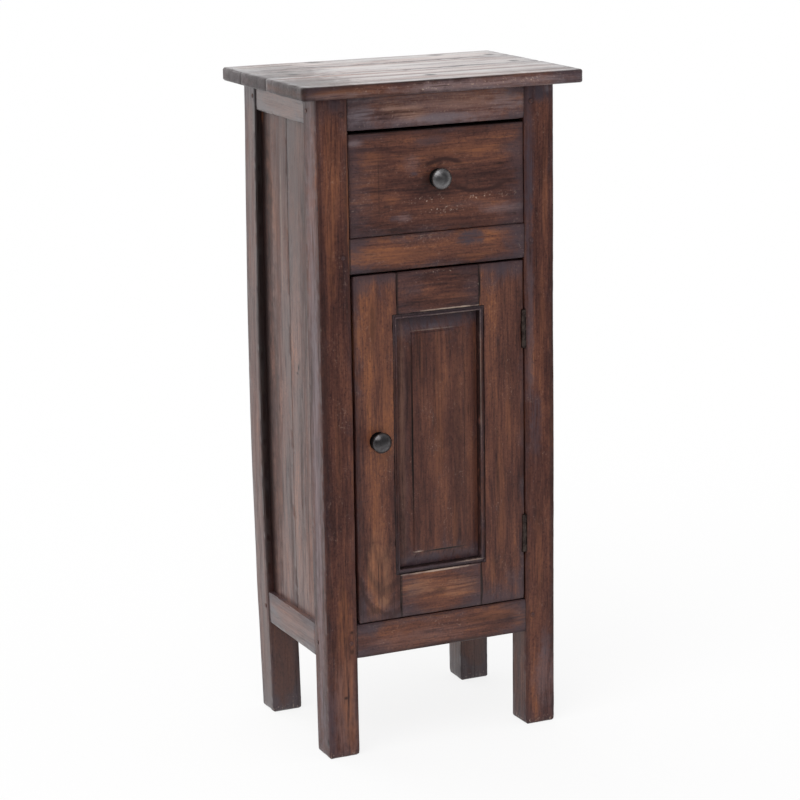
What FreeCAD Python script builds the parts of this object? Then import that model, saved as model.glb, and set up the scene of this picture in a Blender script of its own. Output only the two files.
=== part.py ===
import FreeCAD, Part
import math
import os

# Telephone table: a tall narrow cabinet with one drawer over one panelled door.
# All lengths are millimetres. X runs to the right, -Y to the front, Z up.
# The origin is on the floor, under the middle of the top.

# The whole table
table_height = 900.0
top_length = 400.0
top_depth = 280.0
top_thickness = 18.0
top_front_board_width = 124.0
top_back_board_width = 70.0
top_corner_radius = 5.0
top_edge_rounding = 2.5
overhang_left = 27.0
overhang_front = 21.0
body_width = 338.0
body_depth = 245.0

# Posts
post_width = 43.0
front_post_depth = 43.0
back_post_depth = 40.0
post_arris = 1.5
foot_chamfer = 3.0

# Rails
rail_thickness = 22.0
rail_setback = 1.0
rail_arris = 1.0
tenon_thickness = 8.0
tenon_length = 22.0
tenon_shoulder = 6.0
front_top_rail_height = 44.0
drawer_opening_height = 139.0
middle_rail_height = 46.0
front_bottom_rail_top = 181.0
front_bottom_rail_height = 46.0
side_top_rail_height = 36.0
side_bottom_rail_drop = 4.0
side_bottom_rail_height = 44.0

# Pegs through the joints
peg_diameter = 6.0
peg_length = 26.0
peg_inset = 9.5

# Side and back panels of upright boards in grooves
panel_thickness = 10.0
panel_setback = 9.0
groove_depth = 6.0
board_arris = 0.8
side_seam_from_front = 120.0
back_seam_from_left = 156.0

# Cupboard floor, shelf and the cleats under them
floor_thickness = 14.0
cleat_width = 18.0
cleat_height = 16.0
shelf_thickness = 14.0
shelf_above_floor = 227.0
shelf_front_setback = 46.0
shelf_side_clearance = 0.5

# Battens that hold the top boards and keep the drawer from tipping
batten_width = 36.0
batten_clearance_over_drawer = 3.5

# Drawer runners, guides and stops
runner_width = 18.0
runner_height = 22.0
guide_height = 48.0
guide_drop = 14.0
stop_width = 16.0
stop_height = 18.0
stop_depth = 19.7

# Drawer
drawer_front_thickness = 20.0
drawer_setback = 1.0
drawer_side_gap = 1.2
drawer_top_gap = 3.0
drawer_bottom_gap = 0.8
drawer_running_gap = 0.3
drawer_side_thickness = 10.0
drawer_side_height = 118.0
drawer_lap = 10.0
drawer_bottom_thickness = 5.0
drawer_bottom_height = 8.0
drawer_groove_depth = 5.0
drawer_arris = 1.2
nail_diameter = 2.0
nail_length = 24.0
nail_end_distance = 22.0

# Door
door_thickness = 22.0
door_setback = 1.0
door_left_gap = 4.2
door_right_gap = 1.9
door_top_gap = 3.0
door_bottom_gap = 1.5
left_stile_width = 61.0
right_stile_width = 65.0
door_top_rail_height = 61.5
door_bottom_rail_height = 66.5
door_arris = 1.2
door_tenon_thickness = 7.0
door_tenon_length = 34.0
door_tenon_shoulder = 10.0
sticking_width = 6.5
sticking_drop = 1.4
sticking_corner_radius = 5.0
bead_width = 3.0
bead_chamfer = 1.2
panel_edge_depth = 9.5
panel_tongue_thickness = 5.0
panel_tongue_depth = 7.0
panel_face_depth = 3.0
panel_shoulder = 1.5
panel_bevel_side = 22.2
panel_bevel_end = 20.2

# Knobs and their screws
knob_diameter = 28.0
knob_projection = 21.0
knob_dome_height = 7.5
knob_rim_height = 2.5
knob_rim_bulge = 0.3
knob_underside_inset = 1.25
knob_underside_sag = 0.6
knob_neck_diameter = 11.0
knob_neck_from_base = 7.0
knob_base_diameter = 25.0
knob_base_thickness = 1.6
knob_base_hollow = 0.8
knob_screw_diameter = 4.0
knob_screw_grip = 9.0
knob_screw_head_diameter = 8.0
knob_screw_head_height = 2.4
drawer_knob_rise = 2.0
door_knob_from_edge = 31.0
door_knob_rise = 12.75

# Hinges
hinge_height = 51.0
hinge_leaf_width = 19.0
hinge_leaf_thickness = 1.2
hinge_end_distance = 67.0
hinge_knuckle_radius = 2.7
hinge_knuckle_count = 5
hinge_knuckle_gap = 0.4
hinge_side_gap = 0.3
hinge_recess_gap = 0.5
hinge_axis_inset = 0.6
hinge_axis_proud = 0.6
hinge_pin_radius = 1.2
hinge_pin_clearance = 0.05
hinge_pin_end = 0.6
hinge_screw_from_axis = 12.5
hinge_screw_shares = (1 / 6, 1 / 2, 5 / 6)

# Wood screws
screw_diameter = 3.0
screw_head_diameter = 5.6
hinge_screw_length = 14.0
runner_screw_length = 40.0
floor_cleat_screw_length = 24.0
guide_screw_length = 27.0
batten_screw_from_rail = 24.0
screw_row_shares = (0.2, 0.8)

# Magnetic catch
catch_width = 13.0
catch_depth = 15.0
catch_height = 40.0
catch_from_top = 52.0
catch_arris = 1.5
catch_gap = 0.4
catch_plate_width = 16.0
catch_plate_height = 30.0
catch_plate_thickness = 1.0
catch_plate_corner = 2.0
catch_nail_diameter = 2.0
catch_nail_length = 10.0

# One overrun serves all cuts that must break through a face
overrun = 1.0

# Places that follow from the sizes above
left = -top_length / 2 + overhang_left
right = left + body_width
front = -top_depth / 2 + overhang_front
back = front + body_depth
top_front = -top_depth / 2
top_back = top_depth / 2
under_top = table_height - top_thickness
left_inner = left + post_width
right_inner = right - post_width
front_post_back = front + front_post_depth
back_post_front = back - back_post_depth
rail_front = front + rail_setback
rail_back = rail_front + rail_thickness
back_rail_back = back - rail_setback
back_rail_front = back_rail_back - rail_thickness
left_rail_in = left + rail_setback + rail_thickness
right_rail_in = right - rail_setback - rail_thickness
left_panel_out = left + panel_setback
left_panel_in = left_panel_out + panel_thickness
right_panel_out = right - panel_setback
right_panel_in = right_panel_out - panel_thickness
back_panel_out = back - panel_setback
back_panel_in = back_panel_out - panel_thickness
drawer_opening_top = under_top - front_top_rail_height
middle_rail_top = drawer_opening_top - drawer_opening_height
middle_rail_bottom = middle_rail_top - middle_rail_height
side_top_rail_bottom = under_top - side_top_rail_height
side_bottom_rail_top = front_bottom_rail_top - side_bottom_rail_drop
side_bottom_rail_bottom = side_bottom_rail_top - side_bottom_rail_height

parts = {}


def box(x0, x1, y0, y1, z0, z1):
    """A block between two corners."""
    return Part.makeBox(x1 - x0, y1 - y0, z1 - z0, FreeCAD.Vector(x0, y0, z0))


def rod(start, direction, length, radius):
    """A round rod from start along direction."""
    return Part.makeCylinder(radius, length, FreeCAD.Vector(*start), FreeCAD.Vector(*direction))


def edges_along(shape, axis):
    """The straight edges of a shape that run along X, Y or Z."""
    found = []
    for edge in shape.Edges:
        low, high = edge.Vertexes[0].Point, edge.Vertexes[-1].Point
        span = [abs(high.x - low.x), abs(high.y - low.y), abs(high.z - low.z)]
        if max(span) > 0 and math.isclose(span["XYZ".index(axis)], edge.Length, rel_tol=1e-6):
            found.append(edge)
    return found


def eased(shape, radius, axis):
    """The shape with its arrises along one axis rounded off."""
    return shape.makeFillet(radius, edges_along(shape, axis))


def cut_all(shape, tools):
    """The shape less each of the tools."""
    for tool in tools:
        shape = shape.cut(tool)
    return shape


def group(shapes):
    """Separate like pieces that share one node."""
    return Part.makeCompound(shapes)


def wood_screw(start, direction, length):
    """A countersunk screw with its head flush at start and its shank along direction."""
    head_height = (screw_head_diameter - screw_diameter) / 2
    place, way = FreeCAD.Vector(*start), FreeCAD.Vector(*direction)
    head = Part.makeCone(screw_head_diameter / 2, screw_diameter / 2, head_height, place, way)
    shank = Part.makeCylinder(screw_diameter / 2, length, place, way)
    return head.fuse(shank).removeSplitter()


# Posts, before their joints are cut
def make_post(x0, y0, depth):
    post = box(x0, x0 + post_width, y0, y0 + depth, 0, under_top)
    foot = [edge for edge in post.Edges if edge.BoundBox.ZMax < foot_chamfer / 2]
    return eased(post.makeChamfer(foot_chamfer, foot), post_arris, "Z")


posts = {
    "post_front_left": make_post(left, front, front_post_depth),
    "post_front_right": make_post(right_inner, front, front_post_depth),
    "post_back_left": make_post(left, back_post_front, back_post_depth),
    "post_back_right": make_post(right_inner, back_post_front, back_post_depth),
}


# Rails, each with a tenon at both ends
def rail_across(y0, z0, z1):
    """A rail between a left and a right post."""
    body = eased(box(left_inner, right_inner, y0, y0 + rail_thickness, z0, z1), rail_arris, "X")
    tenon_y = y0 + (rail_thickness - tenon_thickness) / 2
    tenon = box(left_inner - tenon_length, right_inner + tenon_length,
                tenon_y, tenon_y + tenon_thickness, z0 + tenon_shoulder, z1 - tenon_shoulder)
    return body.fuse(tenon)


def rail_along(x0, z0, z1):
    """A rail between a front and a back post."""
    body = eased(box(x0, x0 + rail_thickness, front_post_back, back_post_front, z0, z1), rail_arris, "Y")
    tenon_x = x0 + (rail_thickness - tenon_thickness) / 2
    tenon = box(tenon_x, tenon_x + tenon_thickness, front_post_back - tenon_length,
                back_post_front + tenon_length, z0 + tenon_shoulder, z1 - tenon_shoulder)
    return body.fuse(tenon)


front_rail_heights = {
    "rail_front_top": (drawer_opening_top, under_top),
    "rail_front_middle": (middle_rail_bottom, middle_rail_top),
    "rail_front_bottom": (front_bottom_rail_top - front_bottom_rail_height, front_bottom_rail_top),
}
low_heights = (side_bottom_rail_bottom, side_bottom_rail_top)
high_heights = (side_top_rail_bottom, under_top)
left_rail_x = left + rail_setback
right_rail_x = right - rail_setback - rail_thickness

front_rails = {name: rail_across(rail_front, z0, z1) for name, (z0, z1) in front_rail_heights.items()}
back_rails = {
    "rail_back_top": rail_across(back_rail_front, *high_heights),
    "rail_back_bottom": rail_across(back_rail_front, *low_heights),
}
side_rails = {
    "rail_left_top": rail_along(left_rail_x, *high_heights),
    "rail_left_bottom": rail_along(left_rail_x, *low_heights),
    "rail_right_top": rail_along(right_rail_x, *high_heights),
    "rail_right_bottom": rail_along(right_rail_x, *low_heights),
}
rails = {**front_rails, **back_rails, **side_rails}

# Upright boards of the side and back panels, let into grooves all round
panel_low = side_bottom_rail_top - groove_depth
panel_high = side_top_rail_bottom + groove_depth
side_seam = front + side_seam_from_front
back_seam = left + back_seam_from_left
panel_front = front_post_back - groove_depth
panel_back = back_post_front + groove_depth


def seam_chamfered(board, axis, seam):
    """The board with its upright arrises at the seam planed off."""
    picked = []
    for edge in edges_along(board, "Z"):
        place = edge.BoundBox.Center
        if math.isclose(place.x if axis == "X" else place.y, seam, abs_tol=board_arris):
            picked.append(edge)
    return board.makeChamfer(board_arris, picked)


def side_boards(x0):
    """The front and the back board of one side panel."""
    x1 = x0 + panel_thickness
    front_board = box(x0, x1, panel_front, side_seam, panel_low, panel_high)
    back_board = box(x0, x1, side_seam, panel_back, panel_low, panel_high)
    return [seam_chamfered(front_board, "Y", side_seam), seam_chamfered(back_board, "Y", side_seam)]


left_boards = side_boards(left_panel_out)
right_boards = side_boards(right_panel_in)
back_left_board = box(left_inner - groove_depth, back_seam, back_panel_in, back_panel_out,
                      panel_low, panel_high)
back_right_board = box(back_seam, right_inner + groove_depth, back_panel_in, back_panel_out,
                       panel_low, panel_high)
boards = {
    "left_panel_front_board": left_boards[0],
    "left_panel_back_board": left_boards[1],
    "right_panel_front_board": right_boards[0],
    "right_panel_back_board": right_boards[1],
    "back_panel_left_board": seam_chamfered(back_left_board, "X", back_seam),
    "back_panel_right_board": seam_chamfered(back_right_board, "X", back_seam),
}

# Pegs: one through each joint, from the front, the back or the side
pegs = []
peg_radius = peg_diameter / 2
for z0, z1 in front_rail_heights.values():
    for x in (left_inner - peg_inset, right_inner + peg_inset):
        pegs.append(rod((x, front, (z0 + z1) / 2), (0, 1, 0), peg_length, peg_radius))
for z0, z1 in (low_heights, high_heights):
    for x in (left_inner - peg_inset, right_inner + peg_inset):
        pegs.append(rod((x, back, (z0 + z1) / 2), (0, -1, 0), peg_length, peg_radius))
    for y in (front_post_back - peg_inset, back_post_front + peg_inset):
        pegs.append(rod((left, y, (z0 + z1) / 2), (1, 0, 0), peg_length, peg_radius))
        pegs.append(rod((right, y, (z0 + z1) / 2), (-1, 0, 0), peg_length, peg_radius))
parts["joint_pegs"] = group(pegs)

# Battens under the top, between the posts and against the side rails
batten_low = drawer_opening_top - drawer_top_gap + batten_clearance_over_drawer
battens = {
    "top_batten_left": box(left_rail_in, left_rail_in + batten_width, front_post_back, back_post_front,
                           batten_low, under_top),
    "top_batten_right": box(right_rail_in - batten_width, right_rail_in, front_post_back, back_post_front,
                            batten_low, under_top),
}

# Drawer runners beside the posts, with guides that fill the space between the posts
runner_low = middle_rail_top - runner_height
guide_low = middle_rail_top - guide_drop
guide_high = guide_low + guide_height
runners = {
    "drawer_runner_left": box(left_inner, left_inner + runner_width, rail_back, back_panel_in,
                              runner_low, middle_rail_top),
    "drawer_runner_right": box(right_inner - runner_width, right_inner, rail_back, back_panel_in,
                               runner_low, middle_rail_top),
}
guides = {
    "drawer_guide_left": box(left_panel_in, left_inner, front_post_back, back_post_front,
                             guide_low, guide_high),
    "drawer_guide_right": box(right_inner, right_panel_in, front_post_back, back_post_front,
                              guide_low, guide_high),
}
stop_front = back_panel_in - stop_depth
stops = [
    box(left_inner, left_inner + stop_width, stop_front, back_panel_in, middle_rail_top,
        middle_rail_top + stop_height),
    box(right_inner - stop_width, right_inner, stop_front, back_panel_in, middle_rail_top,
        middle_rail_top + stop_height),
]
parts["drawer_stops"] = group(stops)

# Cupboard floor, notched round the posts, on two cleats
floor_high = front_bottom_rail_top
floor_low = floor_high - floor_thickness
post_corners = [
    box(left, left_inner, front, front_post_back, 0, under_top),
    box(right_inner, right, front, front_post_back, 0, under_top),
    box(left, left_inner, back_post_front, back, 0, under_top),
    box(right_inner, right, back_post_front, back, 0, under_top),
]
floor = box(left_rail_in, right_rail_in, rail_back, back_rail_front, floor_low, floor_high)
parts["cupboard_floor"] = cut_all(floor, post_corners)
cleat_low = floor_low - cleat_height
floor_cleats = group([
    box(left_rail_in, left_rail_in + cleat_width, front_post_back, back_post_front, cleat_low, floor_low),
    box(right_rail_in - cleat_width, right_rail_in, front_post_back, back_post_front, cleat_low, floor_low),
])

# Shelf, notched round the back posts, on two cleats between the posts
shelf_top = front_bottom_rail_top + shelf_above_floor
shelf_low = shelf_top - shelf_thickness
shelf = box(left_panel_in + shelf_side_clearance, right_panel_in - shelf_side_clearance,
            front + shelf_front_setback, back_panel_in, shelf_low, shelf_top)
parts["shelf"] = cut_all(eased(shelf, rail_arris, "X"), post_corners)
shelf_cleats = {
    "shelf_cleat_left": box(left_panel_in, left_inner, front_post_back, back_post_front,
                            shelf_low - cleat_height, shelf_low),
    "shelf_cleat_right": box(right_inner, right_panel_in, front_post_back, back_post_front,
                             shelf_low - cleat_height, shelf_low),
}
inner_pieces = {**battens, **runners, **guides, "floor_cleats": floor_cleats, **shelf_cleats}

# Wood screws that hold the battens, guides, runners and cleats
screws = []
floor_cleat_z = (cleat_low + floor_low) / 2
shelf_cleat_z = shelf_low - cleat_height / 2
guide_z = (middle_rail_top + guide_high) / 2
batten_screw_length = under_top - batten_low + top_thickness / 2
for share in screw_row_shares:
    y = front_post_back + (back_post_front - front_post_back) * share
    for side, rail_in, inner in ((1, left_rail_in, left_inner), (-1, right_rail_in, right_inner)):
        outward = (-side, 0, 0)
        batten_x = rail_in + side * batten_screw_from_rail
        screws.append(wood_screw((batten_x, y, batten_low), (0, 0, 1), batten_screw_length))
        screws.append(wood_screw((rail_in + side * cleat_width, y, floor_cleat_z), outward,
                                 floor_cleat_screw_length))
        for z in (shelf_cleat_z, guide_z):
            screws.append(wood_screw((inner, y, z), outward, guide_screw_length))
runner_z = middle_rail_top - runner_height / 2
for y in ((rail_back + front_post_back) / 2, (back_post_front + back_panel_in) / 2):
    for side, inner in ((1, left_inner), (-1, right_inner)):
        screws.append(wood_screw((inner + side * runner_width, y, runner_z), (-side, 0, 0),
                                 runner_screw_length))
parts["wood_screws"] = group(screws)

# Top of three boards, glued edge to edge, with its corners and outer arrises rounded
top_block = box(-top_length / 2, top_length / 2, top_front, top_back, under_top, table_height)
top_block = eased(top_block, top_corner_radius, "Z")
rim = [edge for edge in top_block.Edges if edge.BoundBox.ZLength < top_edge_rounding]
top_block = top_block.makeFillet(top_edge_rounding, rim)
top_seams = [top_front - overrun, top_front + top_front_board_width, top_back - top_back_board_width,
             top_back + overrun]
for name, y0, y1 in zip(("top_board_front", "top_board_middle", "top_board_back"), top_seams, top_seams[1:]):
    strip = box(-top_length / 2 - overrun, top_length / 2 + overrun, y0, y1,
                under_top - overrun, table_height + overrun)
    parts[name] = cut_all(top_block.common(strip), screws)

# Drawer box: a lapped front, two sides, a back and a grooved bottom
drawer_face = front + drawer_setback
drawer_end = stop_front - drawer_running_gap
drawer_left = left_inner + drawer_side_gap
drawer_right = right_inner - drawer_side_gap
drawer_low = middle_rail_top + drawer_bottom_gap
drawer_high = drawer_opening_top - drawer_top_gap
drawer_side_low = middle_rail_top + drawer_running_gap
drawer_side_high = drawer_side_low + drawer_side_height
drawer_side_front = drawer_face + drawer_front_thickness - drawer_lap
drawer_bottom_low = drawer_side_low + drawer_bottom_height
drawer_bottom_high = drawer_bottom_low + drawer_bottom_thickness
drawer_left_in = drawer_left + drawer_side_thickness
drawer_right_in = drawer_right - drawer_side_thickness

drawer_front = box(drawer_left, drawer_right, drawer_face, drawer_face + drawer_front_thickness,
                   drawer_low, drawer_high)
outline = [edge for edge in drawer_front.Edges if edge.BoundBox.YMax < drawer_face + drawer_arris]
drawer_front = drawer_front.makeFillet(drawer_arris, outline)
drawer_sides = {
    "drawer_side_left": box(drawer_left, drawer_left_in, drawer_side_front, drawer_end,
                            drawer_side_low, drawer_side_high),
    "drawer_side_right": box(drawer_right_in, drawer_right, drawer_side_front, drawer_end,
                             drawer_side_low, drawer_side_high),
}
drawer_bottom = box(drawer_left_in - drawer_groove_depth, drawer_right_in + drawer_groove_depth,
                    drawer_face + drawer_front_thickness - drawer_groove_depth, drawer_end,
                    drawer_bottom_low, drawer_bottom_high)
drawer_back = box(drawer_left_in, drawer_right_in, drawer_end - drawer_side_thickness, drawer_end,
                  drawer_bottom_high, drawer_side_high)
nails = []
for z in (drawer_side_low + nail_end_distance, drawer_side_high - nail_end_distance):
    for y in (drawer_side_front + drawer_lap / 2, drawer_end - drawer_side_thickness / 2):
        nails.append(rod((drawer_left, y, z), (1, 0, 0), nail_length, nail_diameter / 2))
        nails.append(rod((drawer_right, y, z), (-1, 0, 0), nail_length, nail_diameter / 2))
parts["drawer_nails"] = group(nails)


# Knobs: turned mushrooms on a round base, each held by a screw from behind
def make_knob(x, face, z):
    """A knob whose base sits on the face, with a blind threaded hole."""
    def point(radius, out):
        return FreeCAD.Vector(x + radius, face - out, z)
    rim_radius = knob_diameter / 2
    neck_radius = knob_neck_diameter / 2
    base_radius = knob_base_diameter / 2
    rim_out = knob_projection - knob_dome_height
    under_out = rim_out - knob_rim_height
    cap_radius = (rim_radius ** 2 + knob_dome_height ** 2) / (2 * knob_dome_height)
    half_turn = math.asin(rim_radius / cap_radius) / 2
    dome_middle = point(cap_radius * math.sin(half_turn),
                        knob_projection - cap_radius * (1 - math.cos(half_turn)))
    under_radius = rim_radius - knob_underside_inset
    half_neck = (neck_radius + under_radius) / 2
    half_base = (neck_radius + base_radius) / 2
    edges = [
        Part.LineSegment(point(0, 0), point(0, knob_projection)).toShape(),
        Part.Arc(point(0, knob_projection), dome_middle, point(rim_radius, rim_out)).toShape(),
        Part.Arc(point(rim_radius, rim_out), point(rim_radius - knob_rim_bulge, (rim_out + under_out) / 2),
                 point(under_radius, under_out)).toShape(),
        Part.Arc(point(under_radius, under_out), point(half_neck, under_out - knob_underside_sag),
                 point(neck_radius, knob_neck_from_base)).toShape(),
        Part.Arc(point(neck_radius, knob_neck_from_base),
                 point(half_base - knob_base_hollow, knob_base_thickness * 2),
                 point(base_radius, knob_base_thickness)).toShape(),
        Part.LineSegment(point(base_radius, knob_base_thickness), point(base_radius, 0)).toShape(),
        Part.LineSegment(point(base_radius, 0), point(0, 0)).toShape(),
    ]
    profile = Part.Face(Part.Wire(edges))
    knob = profile.revolve(FreeCAD.Vector(x, face, z), FreeCAD.Vector(0, 1, 0), 360)
    bore = rod((x, face + overrun, z), (0, -1, 0), knob_screw_grip + overrun, knob_screw_diameter / 2)
    return knob.cut(bore)


def make_knob_screw(x, face, z, thickness):
    """A round-headed screw through the board into the knob."""
    behind = face + thickness
    head = rod((x, behind, z), (0, 1, 0), knob_screw_head_height, knob_screw_head_diameter / 2)
    crown = [edge for edge in head.Edges if edge.BoundBox.YMin > behind + knob_screw_head_height / 2]
    head = head.makeFillet(knob_screw_head_height / 2, crown)
    shank = rod((x, behind, z), (0, -1, 0), thickness + knob_screw_grip, knob_screw_diameter / 2)
    return head.fuse(shank)


drawer_knob_x = (drawer_left + drawer_right) / 2
drawer_knob_z = (drawer_low + drawer_high) / 2 + drawer_knob_rise
parts["drawer_knob"] = make_knob(drawer_knob_x, drawer_face, drawer_knob_z)
parts["drawer_knob_screw"] = make_knob_screw(drawer_knob_x, drawer_face, drawer_knob_z,
                                             drawer_front_thickness)
parts["drawer_front"] = cut_all(drawer_front, [*drawer_sides.values(), drawer_bottom, *nails,
                                               parts["drawer_knob_screw"]])
for name, side in drawer_sides.items():
    parts[name] = cut_all(side, [drawer_bottom, *nails])
parts["drawer_back"] = cut_all(drawer_back, nails)
parts["drawer_bottom"] = drawer_bottom

# Door: two stiles with two rails between them and a raised panel
door_left = left_inner + door_left_gap
door_right = right_inner - door_right_gap
door_low = front_bottom_rail_top + door_bottom_gap
door_high = middle_rail_bottom - door_top_gap
door_face = front + door_setback
door_back = door_face + door_thickness
sight_left = door_left + left_stile_width
sight_right = door_right - right_stile_width
sight_low = door_low + door_bottom_rail_height
sight_high = door_high - door_top_rail_height


def rounded_plate(x0, x1, z0, z1, y0, y1, corner):
    """A plate in the door's plane with rounded corners."""
    return eased(box(x0, x1, y0, y1, z0, z1), corner, "Y")


def frustum(outer, outer_y, inner, inner_y):
    """A ruled solid between two upright rectangles, each (x0, x1, z0, z1)."""
    wires = []
    for (x0, x1, z0, z1), y in ((outer, outer_y), (inner, inner_y)):
        corners = [(x0, z0), (x1, z0), (x1, z1), (x0, z1), (x0, z0)]
        wires.append(Part.makePolygon([FreeCAD.Vector(x, y, z) for x, z in corners]))
    return Part.makeLoft(wires, True, True)


# The moulding stuck on the frame: a sunk flat with rounded corners, then a bead
sunk = rounded_plate(sight_left - sticking_width, sight_right + sticking_width,
                     sight_low - sticking_width, sight_high + sticking_width,
                     door_face - overrun, door_face + sticking_drop, sticking_corner_radius)
bead = box(sight_left - bead_width, sight_right + bead_width, door_face - overrun - overrun,
           door_face + sticking_drop + overrun, sight_low - bead_width, sight_high + bead_width)
sunk = sunk.cut(bead)
bead_front = (sight_left - bead_chamfer, sight_right + bead_chamfer,
              sight_low - bead_chamfer, sight_high + bead_chamfer)
bead_foot = (sight_left, sight_right, sight_low, sight_high)
bead_slope = frustum(bead_foot, door_face + bead_chamfer, bead_front, door_face)

# The raised panel: a tongue all round, a wide bevel, a small shoulder and the field
field = (sight_left + panel_bevel_side, sight_right - panel_bevel_side,
         sight_low + panel_bevel_end, sight_high - panel_bevel_end)
tongue_y = door_face + panel_edge_depth
field_y = door_face + panel_face_depth
shoulder_y = field_y + panel_shoulder
door_panel = box(sight_left - panel_tongue_depth, sight_right + panel_tongue_depth,
                 tongue_y, tongue_y + panel_tongue_thickness,
                 sight_low - panel_tongue_depth, sight_high + panel_tongue_depth)
door_panel = door_panel.fuse(frustum(bead_foot, tongue_y, field, shoulder_y))
door_panel = door_panel.fuse(box(field[0], field[1], field_y, shoulder_y, field[2], field[3]))
parts["door_panel"] = door_panel.removeSplitter()


def door_rail(z0, z1):
    """A door rail with its tenons."""
    tenon_y = door_face + (door_thickness - door_tenon_thickness) / 2
    tenon = box(sight_left - door_tenon_length, sight_right + door_tenon_length, tenon_y,
                tenon_y + door_tenon_thickness, z0 + door_tenon_shoulder, z1 - door_tenon_shoulder)
    return box(sight_left, sight_right, door_face, door_back, z0, z1).fuse(tenon)


def door_stile(x0, x1, outer):
    """A door stile with its outer long arrises rounded."""
    stile = box(x0, x1, door_face, door_back, door_low, door_high)
    picked = [edge for edge in edges_along(stile, "Z")
              if math.isclose(edge.BoundBox.Center.x, outer, abs_tol=door_arris)]
    return stile.makeFillet(door_arris, picked)


door_rails = {
    "door_rail_top": door_rail(sight_high, door_high),
    "door_rail_bottom": door_rail(door_low, sight_low),
}
door_stiles = {
    "door_stile_left": door_stile(door_left, sight_left, door_left),
    "door_stile_right": door_stile(sight_right, door_right, door_right),
}
moulding_cuts = [sunk, bead_slope]

# Hinges: two leaves with interleaved knuckles round a pin
axis_x = door_right - hinge_axis_inset
axis_y = door_face - hinge_axis_proud
knuckle_pitch = hinge_height / hinge_knuckle_count
hinge_lows = {
    "upper": door_high - hinge_end_distance - hinge_height,
    "lower": door_low + hinge_end_distance,
}


def knuckle_ranges(low, owner):
    """Heights of the knuckles of one leaf: owner 0 is the post's, 1 the door's."""
    ranges = []
    for index in range(owner, hinge_knuckle_count, 2):
        ranges.append((low + index * knuckle_pitch, low + (index + 1) * knuckle_pitch))
    return ranges


def make_leaf(low, owner, plate_low_x, bore_radius):
    """One hinge leaf with its knuckles, clear of the other leaf's knuckles."""
    plate = box(plate_low_x, plate_low_x + hinge_leaf_thickness, axis_y, axis_y + hinge_leaf_width,
                low, low + hinge_height)
    for z0, z1 in knuckle_ranges(low, 1 - owner):
        room = hinge_knuckle_radius + hinge_side_gap
        plate = plate.cut(rod((axis_x, axis_y, z0), (0, 0, 1), z1 - z0, room))
        plate = plate.cut(box(plate_low_x - overrun, plate_low_x + hinge_leaf_thickness + overrun,
                              axis_y - overrun, axis_y + room, z0, z1))
    leaf = plate
    for z0, z1 in knuckle_ranges(low, owner):
        z0 = z0 + hinge_knuckle_gap / 2
        z1 = z1 - hinge_knuckle_gap / 2
        leaf = leaf.fuse(rod((axis_x, axis_y, z0), (0, 0, 1), z1 - z0, hinge_knuckle_radius))
        web_x0 = min(axis_x, plate_low_x)
        web_x1 = max(axis_x, plate_low_x + hinge_leaf_thickness)
        leaf = leaf.fuse(box(web_x0, web_x1, axis_y + hinge_knuckle_radius - hinge_leaf_thickness,
                             axis_y + hinge_knuckle_radius, z0, z1))
    bore = rod((axis_x, axis_y, low - overrun), (0, 0, 1), hinge_height + overrun + overrun, bore_radius)
    return leaf.cut(bore).removeSplitter()


post_screws = []
door_screws = []
hinge_pins = []
barrel_rooms = []
hinge_leaves = {"post": [], "door": []}
for name, low in hinge_lows.items():
    post_leaf = make_leaf(low, 0, right_inner, hinge_pin_radius)
    door_leaf = make_leaf(low, 1, door_right - hinge_leaf_thickness, hinge_pin_radius + hinge_pin_clearance)
    screw_y = axis_y + hinge_screw_from_axis
    for share in hinge_screw_shares:
        z = low + hinge_height * share
        post_screws.append(wood_screw((right_inner, screw_y, z), (1, 0, 0), hinge_screw_length))
        door_screws.append(wood_screw((door_right, screw_y, z), (-1, 0, 0), hinge_screw_length))
    post_leaf = cut_all(post_leaf, post_screws)
    door_leaf = cut_all(door_leaf, door_screws)
    hinge_leaves["post"].append(post_leaf)
    hinge_leaves["door"].append(door_leaf)
    parts["hinge_" + name + "_post_leaf"] = post_leaf
    parts["hinge_" + name + "_door_leaf"] = door_leaf
    hinge_pins.append(rod((axis_x, axis_y, low - hinge_pin_end), (0, 0, 1),
                          hinge_height + hinge_pin_end + hinge_pin_end, hinge_pin_radius))
    barrel_rooms.append(rod((axis_x, axis_y, low - hinge_pin_end - hinge_recess_gap), (0, 0, 1),
                            hinge_height + (hinge_pin_end + hinge_recess_gap) * 2,
                            hinge_knuckle_radius + hinge_recess_gap))
parts["hinge_pins"] = group(hinge_pins)
parts["hinge_post_screws"] = group(post_screws)
parts["hinge_door_screws"] = group(door_screws)

# Door knob, catch plate and the finished door members
door_knob_x = door_left + door_knob_from_edge
door_knob_z = (door_low + door_high) / 2 + door_knob_rise
parts["door_knob"] = make_knob(door_knob_x, door_face, door_knob_z)
parts["door_knob_screw"] = make_knob_screw(door_knob_x, door_face, door_knob_z, door_thickness)

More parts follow.
